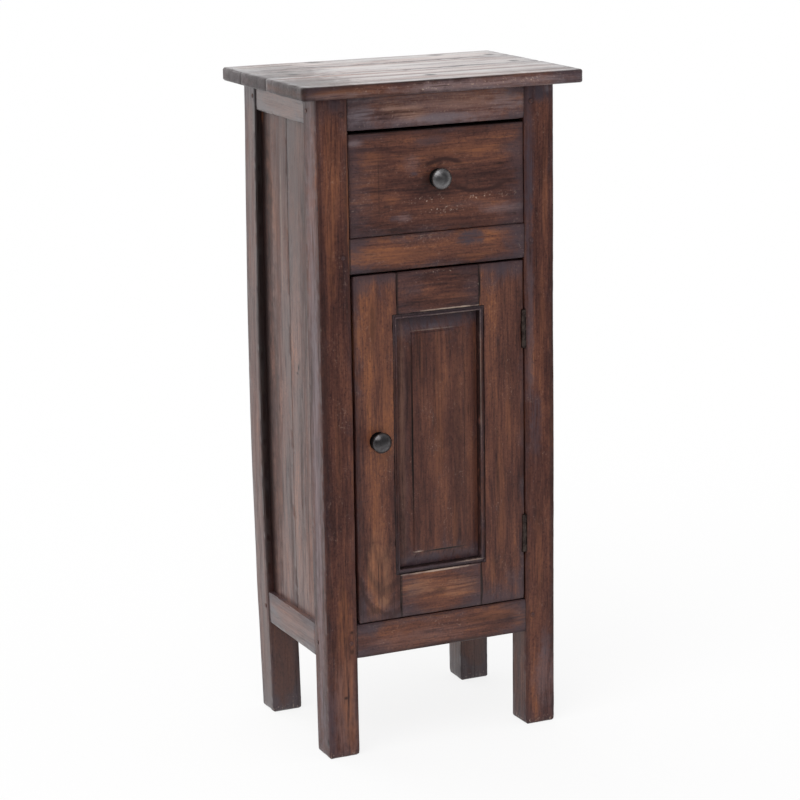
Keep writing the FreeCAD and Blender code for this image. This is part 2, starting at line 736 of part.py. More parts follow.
catch_high = door_high - catch_from_top
catch_low = catch_high - catch_height
catch_middle = (catch_low + catch_high) / 2
plate_x = door_left + catch_plate_corner
plate = rounded_plate(plate_x, plate_x + catch_plate_width, catch_middle - catch_plate_height / 2,
                      catch_middle + catch_plate_height / 2, door_back,
                      door_back + catch_plate_thickness, catch_plate_corner)
plate_nail = rod((plate_x + catch_plate_width / 2, door_back, catch_middle), (0, -1, 0),
                 catch_nail_length, catch_nail_diameter / 2)
parts["catch_plate"] = plate.fuse(plate_nail)
catch_front = door_back + catch_plate_thickness + catch_gap
catch = box(left_inner, left_inner + catch_width, catch_front, catch_front + catch_depth,
            catch_low, catch_high)
outer_edges = [edge for edge in edges_along(catch, "Z")
               if edge.BoundBox.XMin > left_inner + catch_width / 2]
catch = catch.makeFillet(catch_arris, outer_edges)
catch_nails = [rod((left_inner, catch_front + catch_depth / 2, z), (-1, 0, 0), catch_nail_length,
                   catch_nail_diameter / 2)
               for z in (catch_low + catch_depth / 2, catch_high - catch_depth / 2)]
for nail in catch_nails:
    catch = catch.fuse(nail)
parts["door_catch"] = catch

for name, rail in door_rails.items():
    parts[name] = cut_all(rail, [door_panel, *moulding_cuts])
for name, stile in door_stiles.items():
    fittings = [*door_rails.values(), door_panel, *moulding_cuts, parts["door_knob_screw"],
                parts["catch_plate"]]
    if name == "door_stile_right":
        fittings = [*door_rails.values(), door_panel, *moulding_cuts, *barrel_rooms,
                    *hinge_leaves["door"], *door_screws]
    parts[name] = cut_all(stile, fittings)

# Joints of the carcass: each mortise, groove and hole has the shape of what fits it
for name, rail in rails.items():
    parts[name] = cut_all(rail, [*boards.values(), *pegs, *screws])
for name, board in boards.items():
    parts[name] = cut_all(board, screws)
for name, piece in inner_pieces.items():
    parts[name] = cut_all(piece, screws)
for name, post in posts.items():
    fittings = [*rails.values(), *boards.values(), *pegs, *screws]
    if name == "post_front_right":
        fittings = [*fittings, *barrel_rooms, *hinge_leaves["post"], *post_screws]
    if name == "post_front_left":
        fittings = [*fittings, catch]
    parts[name] = cut_all(post, fittings)

os.makedirs("parts", exist_ok=True)
for name, shape in sorted(parts.items()):
    solids = shape.Solids
    finished = solids[0] if len(solids) == 1 else Part.makeCompound(solids)
    finished.exportStep("parts/" + name + ".step")
    print(name, "solids", len(solids), "valid", finished.isValid(), "volume", round(finished.Volume))
print("nodes", len(parts))
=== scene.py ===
import math
from dataclasses import dataclass

import bpy
from mathutils import Matrix, Vector


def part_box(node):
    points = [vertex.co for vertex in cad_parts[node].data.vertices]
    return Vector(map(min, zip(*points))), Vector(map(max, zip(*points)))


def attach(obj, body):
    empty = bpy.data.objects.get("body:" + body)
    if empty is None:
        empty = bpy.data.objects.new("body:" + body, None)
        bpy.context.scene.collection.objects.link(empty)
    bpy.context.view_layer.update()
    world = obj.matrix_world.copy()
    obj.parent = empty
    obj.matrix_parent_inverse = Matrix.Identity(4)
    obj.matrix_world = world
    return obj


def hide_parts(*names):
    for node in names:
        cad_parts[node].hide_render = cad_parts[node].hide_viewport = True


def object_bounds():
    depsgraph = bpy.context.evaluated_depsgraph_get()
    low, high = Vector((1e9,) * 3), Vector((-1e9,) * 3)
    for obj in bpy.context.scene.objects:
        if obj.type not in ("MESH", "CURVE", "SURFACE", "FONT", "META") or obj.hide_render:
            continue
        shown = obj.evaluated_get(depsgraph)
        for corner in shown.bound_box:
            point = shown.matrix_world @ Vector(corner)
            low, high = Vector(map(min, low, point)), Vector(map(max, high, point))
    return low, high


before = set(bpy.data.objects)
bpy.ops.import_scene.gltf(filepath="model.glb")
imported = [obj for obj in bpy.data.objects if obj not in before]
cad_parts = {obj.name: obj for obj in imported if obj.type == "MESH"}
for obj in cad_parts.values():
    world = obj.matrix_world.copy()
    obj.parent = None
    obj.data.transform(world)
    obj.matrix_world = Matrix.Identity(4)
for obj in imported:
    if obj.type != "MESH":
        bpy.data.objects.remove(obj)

bl_info = {
    "name": "Telephone Table",
    "version": (1, 0, 0),
    "blender": (4, 5, 0),
    "location": "View3D > Sidebar > Table",
    "description": "Dresses a small stained teak cabinet with one drawer over one panelled door",
    "category": "Object",
}

cad_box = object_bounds()
MM = 0.001


def srgb(red, green, blue):
    """A colour given as display values from 0 to 255, as the linear colour that shaders use."""
    linear = []
    for value in (red / 255, green / 255, blue / 255):
        linear.append(value / 12.92 if value <= 0.04045 else ((value + 0.055) / 1.055) ** 2.4)
    return (*linear, 1.0)


def amount(name, description, default, subtype="NONE"):
    """A number that a user can change."""
    return bpy.props.FloatProperty(name=name, description=description, subtype=subtype, default=default)


def degrees(name, description, default):
    """An angle that a user can change, given in degrees."""
    return amount(name, description, math.radians(default), "ANGLE")


def size(name, description, default):
    """A size that a user can change, given in millimetres."""
    return bpy.props.FloatProperty(name=name, description=description, unit="LENGTH", precision=5,
                                   default=default * MM)


def colour(name, description, *display):
    """A colour that a user can change, given as display values from 0 to 255."""
    return bpy.props.FloatVectorProperty(name=name, description=description, subtype="COLOR", size=4,
                                         min=0.0, max=1.0, default=srgb(*display))


class TableWood(bpy.types.PropertyGroup):
    """How worn and uneven the wooden pieces are, and the shape of the door's moulding and pegs."""
    row_spacing: size("Row spacing", "Distance between the rows of points on a piece", 8)
    arris_radius: size("Arris radius", "Rounding of the worn arrises", 1.5)
    fine_arris: size("Fine arris", "Rounding of thin boards' arrises", 0.7)
    foot_arris: size("Foot arris", "Rounding of the posts' feet", 3.2)
    drawer_gap: size("Drawer gap", "Extra gap above the drawer's front", 1.2)
    arris_wear: size("Arris wear", "Depth of the chips along the arrises", 1.1)
    chip_length: size("Chip length", "Size of the chips along the arrises", 14)
    warp: size("Warp", "How far the pieces wander from straight", 1.4)
    warp_length: size("Warp length", "Distance over which the pieces wander", 160)
    margin: size("Margin", "How far the top stays inside its nominal size", 0.7)
    bite: size("Bite", "How far a rail runs into its post", 1.2)
    bow_out: size("Bow", "How far the back left post bows outwards at half height", 5.5)
    foot_in: size("Foot", "How far the foot of the back left post leans inwards", 3.5)
    top_corner: size("Top corner", "Corner radius of the top", 5)
    top_arris: size("Top arris", "Rounding of the top's outer arrises", 2.4)
    moulding_width: size("Moulding width", "Width of the moulding round the door panel", 6.5)
    moulding_sink: size("Moulding sink", "Depth of the moulding's flat", 1.4)
    moulding_corner: size("Moulding corner", "Corner radius of the moulding's flat", 6.2)
    moulding_lip: size("Moulding lip", "Width of the thin lip outside the moulding's flat", 0.4)
    flat_width: size("Flat width", "Width of the moulding's flat", 3.0)
    bead_chamfer: size("Bead chamfer", "Slope on the inner side of the moulding's bead", 1.2)
    panel_depth: size("Panel depth", "How deep the panel's edge lies behind the door's face", 9.5)
    panel_face: size("Panel face", "How deep the panel's field lies behind the door's face", 3.0)
    panel_shoulder: size("Panel shoulder", "Height of the small step round the panel's field", 1.5)
    bevel_side: size("Side bevel", "Width of the panel's bevels at its sides", 22.2)
    bevel_end: size("End bevel", "Width of the panel's bevels at its ends", 20.2)
    peg_proud: size("Peg", "How far a peg's end stands out of its post", 0.35)
    recess_gap: size("Recess gap", "Gap between a hinge and the wood round it", 0.3)


class TableFinish(bpy.types.PropertyGroup):
    """The stain, the wear and the metal."""
    stain_dark: colour("Dark stain", "Darkest streaks of the stained teak", 54, 30, 28)
    stain_brown: colour("Brown stain", "The stain's usual tone", 84, 49, 41)
    stain_warm: colour("Warm stain", "Lighter streaks of the stain", 107, 65, 50)
    glow: colour("Glow", "Orange-brown patches where the stain is thin", 140, 86, 55)
    pale: colour("Pale stain", "Places where the stain is nearly rubbed off", 170, 122, 92)
    smudge: colour("Smudge", "Blue-grey patches near joints and ends", 69, 58, 66)
    # Shade is also the colour of the painted shade in recesses and of the painted shadow beside the drawer's
    # knob
    shade: colour("Shade", "Dark patches where the stain is thick", 38, 24, 23)
    bare: colour("Bare wood", "Worn spots that show pale wood", 186, 164, 148)
    haze: colour("Haze", "Pale blue-grey scuffs on the wax", 132, 120, 126)
    # Dirt is also the colour of the painted shade in gaps and recesses and under the knobs
    dirt: colour("Dirt", "Knots, cracks and holes", 24, 17, 17)
    pewter: colour("Pewter", "Metal of the knobs", 142, 141, 142)
    pewter_dark: colour("Dark pewter", "Tarnish of the knobs", 104, 102, 104)
    pewter_black: colour("Black pewter", "Tarnish of the door's knob", 74, 71, 72)
    steel: colour("Steel", "Metal of the hinges and screws", 84, 72, 66)
    plastic: colour("Plastic", "Body of the door catch", 58, 44, 38)
    plastic_dark: colour("Dark plastic", "Scuffed spots of the door catch", 40, 30, 27)


class TableStage(bpy.types.PropertyGroup):
    """Where the camera stands and how strong the studio light is."""
    camera_place: bpy.props.FloatVectorProperty(
        name="Camera place", description="Where the camera stands", subtype="TRANSLATION", unit="LENGTH",
        default=(-1.5019, -3.2464, 1.2988))
    camera_yaw: degrees("Yaw", "How far the camera is turned towards the table's right side", 24.709)
    camera_tilt: degrees("Tilt", "How far the camera looks down", 13.366)
    camera_roll: degrees("Roll", "How far the camera leans", -0.861)
    camera_lens: amount("Lens", "Focal length for a sensor 36 mm wide", 121.73, "DISTANCE_CAMERA")
    world_light: amount("World light", "Strength of the white light from all round", 0.72)
    key_light: amount("Key light", "Strength of the soft light from the upper left", 1.3)
    back_light: amount("Back light", "Strength of the low soft light from behind", 1.0)
    dark_side: amount("Dark side", "Strength of what reflections see in front of the table", 0.15)
    floor_glow: amount("Floor glow", "Share of the floor that the camera sees as plain white", 0.84)
    floor_size: size("Floor size", "Width of the pale floor", 80000)


# Shaping pieces

HAIR = 0.1 * MM  # two places closer than this count as one
SHARP_ANGLE = math.radians(40)
FLAT_NORMAL = 0.985  # a point whose normal is closer to an axis than this lies on a flat face
CHIP_START = 0.45  # the cloudy value at which chips begin
CHIP_RISE = 0.3  # how much higher the value is where a chip is at its deepest
CHIPS = ((1.0, 1.0), (3.5, 0.6))  # small and large chips: size and depth
WARP_SPREAD = 0.2  # how much longer the wandering is from one axis to the next
CAGE_LEVELS = 7
CAGE_COLUMNS = 4
BACK_LEFT_COLUMN = 2
BOW_END = 0.97  # the share of the height at which the bow has come back to straight


def set_mode(mode):
    """Goes to edit mode or back to object mode."""
    bpy.ops.object.mode_set(mode=mode)


def apply_place():
    """Moves the place, turn and scale of the active piece into its mesh."""
    bpy.ops.object.transform_apply(location=True, rotation=True, scale=True)


def face_outwards():
    """Turns the faces of the piece in edit mode outwards, and leaves edit mode."""
    bpy.ops.mesh.select_all(action="SELECT")
    bpy.ops.mesh.normals_make_consistent(inside=False)
    set_mode("OBJECT")


def clear_selection():
    """Leaves edit mode and deselects everything."""
    if bpy.context.object and bpy.context.object.mode != "OBJECT":
        set_mode("OBJECT")
    bpy.ops.object.select_all(action="DESELECT")


def make_active(piece):
    """Selects one piece alone."""
    clear_selection()
    piece.select_set(True)
    bpy.context.view_layer.objects.active = piece


def pick(piece, kind, test):
    """Goes to edit mode with the vertices, edges or faces selected that pass a test."""
    set_mode("EDIT")
    bpy.ops.mesh.select_mode(type=kind)
    bpy.ops.mesh.select_all(action="DESELECT")
    set_mode("OBJECT")
    items = {"VERT": piece.data.vertices, "EDGE": piece.data.edges, "FACE": piece.data.polygons}[kind]
    for item in items:
        item.select = bool(test(item))
    set_mode("EDIT")


def ends(piece, edge):
    """The two ends of an edge."""
    points = piece.data.vertices
    return points[edge.vertices[0]].co, points[edge.vertices[1]].co


def span(points):
    """The lowest and highest corner of some points."""
    low = Vector([min(point[axis] for point in points) for axis in range(3)])
    high = Vector([max(point[axis] for point in points) for axis in range(3)])
    return low, high


def longest_axis(low, high):
    """The axis along which a box is longest."""
    return max(range(3), key=lambda axis: high[axis] - low[axis])


def loose_boxes(node):
    """The box of each separate solid in a node that holds several."""
    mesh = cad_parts[node].data
    places = [tuple(round(value, 6) for value in point.co) for point in mesh.vertices]
    owner = {place: place for place in places}

    def top_of(place):
        while owner[place] != place:
            place = owner[place]
        return place
    for edge in mesh.edges:
        first, last = (top_of(places[index]) for index in edge.vertices)
        owner[first] = last
    solids = {}
    for place in owner:
        solids.setdefault(top_of(place), []).append(place)
    return sorted((span(points) for points in solids.values()), key=lambda box: tuple(box[0]))


def add_block(name, low, high):
    """A block between two corners, with its place in its mesh."""
    clear_selection()
    bpy.ops.mesh.primitive_cube_add(size=1, location=(low + high) / 2, scale=high - low)
    apply_place()
    piece = bpy.context.object
    piece.name = name
    piece.data.name = name
    return piece


def cut_rows(piece, spacing):
    """Cuts even rows through a piece along each axis, so that it can be bent and worn."""
    low, high = span([point.co for point in piece.data.vertices])
    make_active(piece)
    set_mode("EDIT")
    for axis in range(3):
        normal = [1.0 if other == axis else 0.0 for other in range(3)]
        count = round((high[axis] - low[axis]) / spacing)
        for index in range(1, count):
            bpy.ops.mesh.select_all(action="SELECT")
            bpy.ops.mesh.bisect(plane_co=low.lerp(high, index / count), plane_no=normal)
    set_mode("OBJECT")


def round_arrises(piece, radius, test=None, segments=3):
    """Rounds the sharp arrises of a piece, or those of them that pass a test."""
    make_active(piece)
    set_mode("EDIT")
    bpy.ops.mesh.select_mode(type="EDGE")
    bpy.ops.mesh.select_all(action="DESELECT")
    bpy.ops.mesh.edges_select_sharp(sharpness=SHARP_ANGLE)
    if test:
        set_mode("OBJECT")
        sharp = {edge.index for edge in piece.data.edges if edge.select}
        pick(piece, "EDGE", lambda edge: edge.index in sharp and test(*ends(piece, edge)))
    bpy.ops.mesh.bevel(offset=radius, segments=segments, affect="EDGES", clamp_overlap=True)
    set_mode("OBJECT")


def apply_modifier(piece, kind, **settings):
    """Adds a modifier to a piece, sets it and applies it."""
    make_active(piece)
    bpy.ops.object.modifier_add(type=kind)
    modifier = piece.modifiers[-1]
    for key, value in settings.items():
        setattr(modifier, key, value)
    bpy.ops.object.modifier_apply(modifier=modifier.name)


def cut_hollow(piece, cutter):
    """Cuts the shape of a cutter out of a piece, and removes the cutter."""
    apply_modifier(piece, "BOOLEAN", operation="DIFFERENCE", object=cutter, solver="EXACT")
    bpy.data.objects.remove(cutter)


def push_face(offset, scale=None, middle=(0, 0, 0)):
    """Extrudes the selected face by an offset, and resizes its new outline about a middle."""
    bpy.ops.mesh.extrude_region_move(TRANSFORM_OT_translate={"value": offset})
    if scale:
        bpy.ops.transform.resize(value=scale, center_override=middle)


def cloud_texture(name, scale, start=None):
    """A cloudy texture; a start makes it zero below that value."""
    texture = bpy.data.textures.get(name)
    if texture is None:
        texture = bpy.data.textures.new(name, "CLOUDS")
        texture.noise_scale = scale
        texture.noise_depth = 2
        if start is not None:
            texture.use_color_ramp = True
            low, high = texture.color_ramp.elements
            low.position, low.color = start, (0, 0, 0, 1)
            high.position, high.color = min(1.0, start + CHIP_RISE), (1, 1, 1, 1)
    return texture


def warp(piece, axes):
    """Lets a piece wander a little from straight, alike for all pieces that touch."""
    wood = bpy.context.scene.table_wood
    for axis in axes:
        length = wood.warp_length * (1.0 + WARP_SPREAD * "XYZ".index(axis))
        texture = cloud_texture("warp along " + axis, length)
        apply_modifier(piece, "DISPLACE", texture=texture, texture_coords="LOCAL", direction=axis,
                       mid_level=0.5, strength=wood.warp)


def wear_arrises(piece, share):
    """Chips and rounds the arrises unevenly, always inwards."""
    wood = bpy.context.scene.table_wood
    arris = piece.vertex_groups.new(name="arris")
    worn = [point.index for point in piece.data.vertices
            if max(abs(part) for part in point.normal) < FLAT_NORMAL]
    arris.add(worn, 1.0, "REPLACE")
    for scale, depth in CHIPS:
        texture = cloud_texture(f"chips {scale}", wood.chip_length * scale, start=CHIP_START)
        apply_modifier(piece, "DISPLACE", texture=texture, texture_coords="LOCAL", direction="NORMAL",
                       mid_level=0.0, strength=-wood.arris_wear * depth * share, vertex_group="arris")
    piece.vertex_groups.clear()


def bend_with_cage(piece):
    """Bows the back left corner of the carcass with a cage of points round the whole table."""
    wood = bpy.context.scene.table_wood
    low, high = Vector(cad_box[0]), Vector(cad_box[1])
    clear_selection()
    bpy.ops.object.add(type="LATTICE", location=(low + high) / 2)
    cage = bpy.context.object
    cage.scale = high - low
    cage.data.points_u = 2
    cage.data.points_v = 2
    cage.data.points_w = CAGE_LEVELS
    cage.data.interpolation_type_u = "KEY_LINEAR"
    cage.data.interpolation_type_v = "KEY_LINEAR"
    cage.data.interpolation_type_w = "KEY_CARDINAL"
    for index, point in enumerate(cage.data.points):
        level, column = divmod(index, CAGE_COLUMNS)
        if column == BACK_LEFT_COLUMN:
            height = level / (CAGE_LEVELS - 1)
            bow = wood.bow_out * math.sin(math.pi * min(1.0, height / BOW_END))
            lean = wood.foot_in * (1 - height) ** 4
            point.co_deform.x -= (bow - lean) / (high.x - low.x)
    apply_modifier(piece, "LATTICE", object=cage)
    bpy.data.objects.remove(cage)


def dress(piece, nodes, body, material, angle=35):
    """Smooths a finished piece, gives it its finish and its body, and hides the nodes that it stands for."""
    make_active(piece)
    bpy.ops.object.shade_smooth_by_angle(angle=math.radians(angle))
    piece.data.materials.append(material)
    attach(piece, body)
    if nodes:
        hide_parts(*nodes)
    return piece


def finish_wood(piece, nodes, body, material, axes="XY", bend=True, wear=1.0):
    """Cuts a wooden piece into rows, wears, warps and bends it, and dresses it."""
    cut_rows(piece, bpy.context.scene.table_wood.row_spacing)
    if wear:
        wear_arrises(piece, wear)
    warp(piece, axes)
    if bend:
        bend_with_cage(piece)
    return dress(piece, nodes, body, material)


# Shading

BLOCK_VECTORS = ("Place", "Low", "High", "Along")
# Layers of the grain, which runs along Z: scale on each axis, detail, roughness
GRAIN_LAYERS = {
    "Fine": ((360, 360, 20), 4, 0.68),
    "Medium": ((130, 130, 5), 3, 0.55),
    "Bands": ((58, 58, 2.4), 4, 0.62),
    "Pores": ((420, 420, 26), 3, 0.65),
}
# Layers that take no part in the grain's sway: scale on each axis, detail, roughness, distortion
LOOSE_LAYERS = {
    "Blotch": ((27, 27, 6.5), 3, 0.5, 0.4),
    "Smudge": ((31, 33, 17), 5, 0.68, 0.9),
    "Speckle": ((380, 380, 300), 3, 0.72),
    "Cloud": ((90, 90, 70), 4, 0.6, 0.4),
}
BROAD_LAYER = ((20, 20, 2.6), 1.5, 0.4)
TARNISH_LAYER = ((110, 110, 110), 4, 0.6, 0.6)
SCRATCH_LAYER = ((900, 900, 900), 3, 0.6)
GRAIN_SHIFT = (7.3, 3.1)  # weights of a piece's corners, so that each piece has its own part of the grain
GRAIN_RISE = 1.7
RINGS = 95.0  # how many dark rings fit in the broad layer's range, times pi
SWAY_SCALE = (9, 9, 4)
SWAY = (0.008, 0.008, 0.0)
# Soft steps: where each starts, where it ends and, if not 1, how high it rises
FIGURE_STEP = (0.5, 0.05)
PORE_STEP = (0.58, 0.67)
PATCH_STEP = (1.15, 0.2)
ARC_SIDE_STEP = (0.0, 0.6)
ARC_STEP = (1.0, 0.2)
END_SMUDGE_STEP = (0.06, 0.0, 0.3)
ARRIS_SMUDGE_STEP = (0.016, 0.0, 0.2)
SMUDGE_STEP = (0.55, 0.95, 0.8)
RIM_STEP = (0.014, 0.005, 0.3)
SEAM_STEP = (0.0032, 0.0012, 0.8)
PIT_STEP = (0.4, 0.32, 0.45)
FLECK_STEP = (0.58, 0.68)
SCATTER_STEP = (0.5, 0.65)
WORN_STEP = (0.0032, 0.0016)
POLISH_STEP = (0.7, 0.92, 0.75)
STREAK_STEP = (-0.35, 0.2)
LINE_CLOUD_STEP = (0.25, 0.5)
TARNISH_STEP = (0.3, 0.7)
# How strongly each shows in the colour
PORE_SHARE = 0.42
FLECK_SHARE = 0.22
WORN_SHARE = 0.45
# Share of the painted shade under a knob's head
UNDERSIDE_SHADE_SHARE = 0.85
# Where the ramp of stains changes from tone to tone
STAIN_STOPS = (0.0, 0.38, 0.68, 1.0)
ARC_WANDER = 0.26  # how far a curved mark leaves its ellipse, as a share of its reach
ARC_LEVEL = -1.0 - ARC_WANDER / 2
LINE_EDGE = 0.3  # the share of a line's width that is fully dark
CRISP = 0.3  # how ragged the outlines of lines and knots are
SOFT = 1.3  # how ragged the outlines of other patches are
# Depth over which the painted shade under a knob's head fades in
UNDERSIDE_SHADE_FADE = 4 * MM
COAT_ROUGHNESS = 0.3


def put(tree, kind, inputs=None, **settings):
    """Adds a shader node, with its settings, and with its inputs as values or links."""
    node = tree.nodes.new(kind)
    for key, value in settings.items():
        setattr(node, key, value)
    for key, value in (inputs or {}).items():
        if isinstance(value, bpy.types.NodeSocket):
            tree.links.new(value, node.inputs[key])
        else:
            node.inputs[key].default_value = value
    return node


def calc(tree, operation, first, second=0.0, third=0.0):
    """One step of arithmetic on numbers."""
    return put(tree, "ShaderNodeMath", {0: first, 1: second, 2: third}, operation=operation).outputs[0]


def times(tree, first, second):
    """A product of two numbers."""
    return calc(tree, "MULTIPLY", first, second)


def total(tree, *terms):
    """A sum of numbers, where a pair stands for its product."""
    result = 0.0
    for term in terms:
        if isinstance(term, tuple):
            result = calc(tree, "MULTIPLY_ADD", term[0], term[1], result)
        else:
            result = calc(tree, "ADD", term, result)
    return result


def vector(tree, operation, first, second=(0, 0, 0)):
    """One step of arithmetic on vectors."""
    return put(tree, "ShaderNodeVectorMath", {0: first, 1: second}, operation=operation).outputs["Vector"]


def step(tree, value, start, end, top=1.0):
    """A soft step from 0 at the start to a top value at the end."""
    inputs = {"Value": value, "From Min": start, "From Max": end, "To Max": top}
    return put(tree, "ShaderNodeMapRange", inputs, interpolation_type="SMOOTHSTEP").outputs["Result"]


def mixed(tree, share, first, second, blend="MIX"):
    """Two colours mixed."""
    return put(tree, "ShaderNodeMix", {0: share, 6: first, 7: second}, data_type="RGBA",
               blend_type=blend).outputs[2]


def noise(tree, place, scale=(1, 1, 1), detail=2.0, roughness=0.5, distortion=0.0):
    """Cloudy values from 0 to 1, finer where the scale is higher."""
    scaled = vector(tree, "MULTIPLY", place, scale)
    return put(tree, "ShaderNodeTexNoise", {"Vector": scaled, "Scale": 1.0, "Detail": detail,
                                            "Roughness": roughness, "Distortion": distortion}).outputs["Fac"]


def split(tree, value):
    """The three parts of a vector."""
    return put(tree, "ShaderNodeSeparateXYZ", {0: value}).outputs


def group_tree(name, vectors, numbers=()):
    """A new node group with named vectors and numbers as inputs: its tree and what it is given."""
    tree = bpy.data.node_groups.new(name, "ShaderNodeTree")
    for kind, labels in (("Vector", vectors), ("Float", numbers)):
        for label in labels:
            tree.interface.new_socket(name=label, in_out="INPUT", socket_type="NodeSocket" + kind)
    return tree, tree.nodes.new("NodeGroupInput").outputs


def give_out(tree, results):
    """Makes a group's results its outputs: a colour under the name Color, numbers under the others."""
    for label in results:
        kind = "Color" if label == "Color" else "Float"
        tree.interface.new_socket(name=label, in_out="OUTPUT", socket_type="NodeSocket" + kind)
    out = tree.nodes.new("NodeGroupOutput").inputs
    for label, value in results.items():
        tree.links.new(value, out[label])
    return tree


def use(tree, build, inputs):
    """Places a node group, which is built at its first use, and returns its outputs."""
    name = build.__name__.replace("_", " ")
    group = bpy.data.node_groups.get(name) or build(name)
    return put(tree, "ShaderNodeGroup", inputs, node_tree=group).outputs


def teak_grain(name):
    """The figure of teak, whose grain runs along Z of the place that it is given."""
    tree, given = group_tree(name, ["Place"])
    place = given["Place"]
    cloud = put(tree, "ShaderNodeTexNoise", {"Vector": vector(tree, "MULTIPLY", place, SWAY_SCALE),
                                             "Scale": 1.0, "Detail": 2.0}).outputs["Color"]
    sway = vector(tree, "MULTIPLY", vector(tree, "SUBTRACT", cloud, (0.5, 0.5, 0.5)), SWAY)
    bent = vector(tree, "ADD", place, sway)
    broad = noise(tree, bent, *BROAD_LAYER)
    ring = calc(tree, "ABSOLUTE", calc(tree, "SINE", times(tree, broad, RINGS)))
    layers = {label: noise(tree, bent, *values) for label, values in GRAIN_LAYERS.items()}
    layers.update((label, noise(tree, place, *values)) for label, values in LOOSE_LAYERS.items())
    layers["Figure"] = step(tree, ring, *FIGURE_STEP)
    layers["Pores"] = step(tree, layers["Pores"], *PORE_STEP)
    return give_out(tree, layers)


def arris_distance(name):
    """How far a place on a block is from its nearest arris and from its nearest end."""
    tree, given = group_tree(name, BLOCK_VECTORS, ["Joined"])
    inside = vector(tree, "MINIMUM", vector(tree, "SUBTRACT", given["Place"], given["Low"]),
                    vector(tree, "SUBTRACT", given["High"], given["Place"]))
    end = put(tree, "ShaderNodeVectorMath", {0: inside, 1: given["Along"]}, operation="DOT_PRODUCT")
    away = put(tree, "ShaderNodeVectorMath", {0: given["Along"], "Scale": given["Joined"]}, operation="SCALE")
    parts = split(tree, vector(tree, "ADD", inside, away.outputs[0]))
    smaller = calc(tree, "MINIMUM", parts[0], parts[1])
    larger = calc(tree, "MAXIMUM", parts[0], parts[1])
    return give_out(tree, {
        "Arris": calc(tree, "MAXIMUM", smaller, calc(tree, "MINIMUM", larger, parts[2])),
        "End": end.outputs["Value"],
    })


def way_from_middle(tree, given):
    """A place's way from a patch's middle, as a share of the patch's reach, and the length of that way."""
    offset = vector(tree, "DIVIDE", vector(tree, "SUBTRACT", given["Place"], given["Middle"]), given["Reach"])
    return offset, put(tree, "ShaderNodeVectorMath", {0: offset}, operation="LENGTH").outputs["Value"]


def patch(name):
    """A soft patch of ragged outline."""
    tree, given = group_tree(name, ["Place", "Middle", "Reach"], ["Ragged", "Cloud"])
    distance = way_from_middle(tree, given)[1]
    distance = total(tree, distance, (calc(tree, "SUBTRACT", given["Cloud"], 0.5), given["Ragged"]))
    return give_out(tree, {"Mask": step(tree, distance, *PATCH_STEP)})


def arc(name):
    """A thin curved mark: the upper or lower side of an ellipse seen from the front."""
    tree, given = group_tree(name, ["Place", "Middle", "Reach"], ["Side", "Width", "Cloud"])
    offset, distance = way_from_middle(tree, given)
    ring = calc(tree, "ABSOLUTE", total(tree, distance, (given["Cloud"], ARC_WANDER), ARC_LEVEL))
    side = step(tree, times(tree, split(tree, offset)[2], given["Side"]), *ARC_SIDE_STEP)
    near = step(tree, calc(tree, "DIVIDE", ring, given["Width"]), *ARC_STEP)
    return give_out(tree, {"Mask": times(tree, near, side)})


def outline_distance(name):
    """How far a place is inside (below zero) or outside an upright rectangle seen from the front."""
    tree, given = group_tree(name, ["Place", "Low", "High"])
    past = vector(tree, "MAXIMUM", vector(tree, "SUBTRACT", given["Low"], given["Place"]),
                  vector(tree, "SUBTRACT", given["Place"], given["High"]))
    parts = split(tree, past)
    return give_out(tree, {"Distance": calc(tree, "MAXIMUM", parts[0], parts[2])})


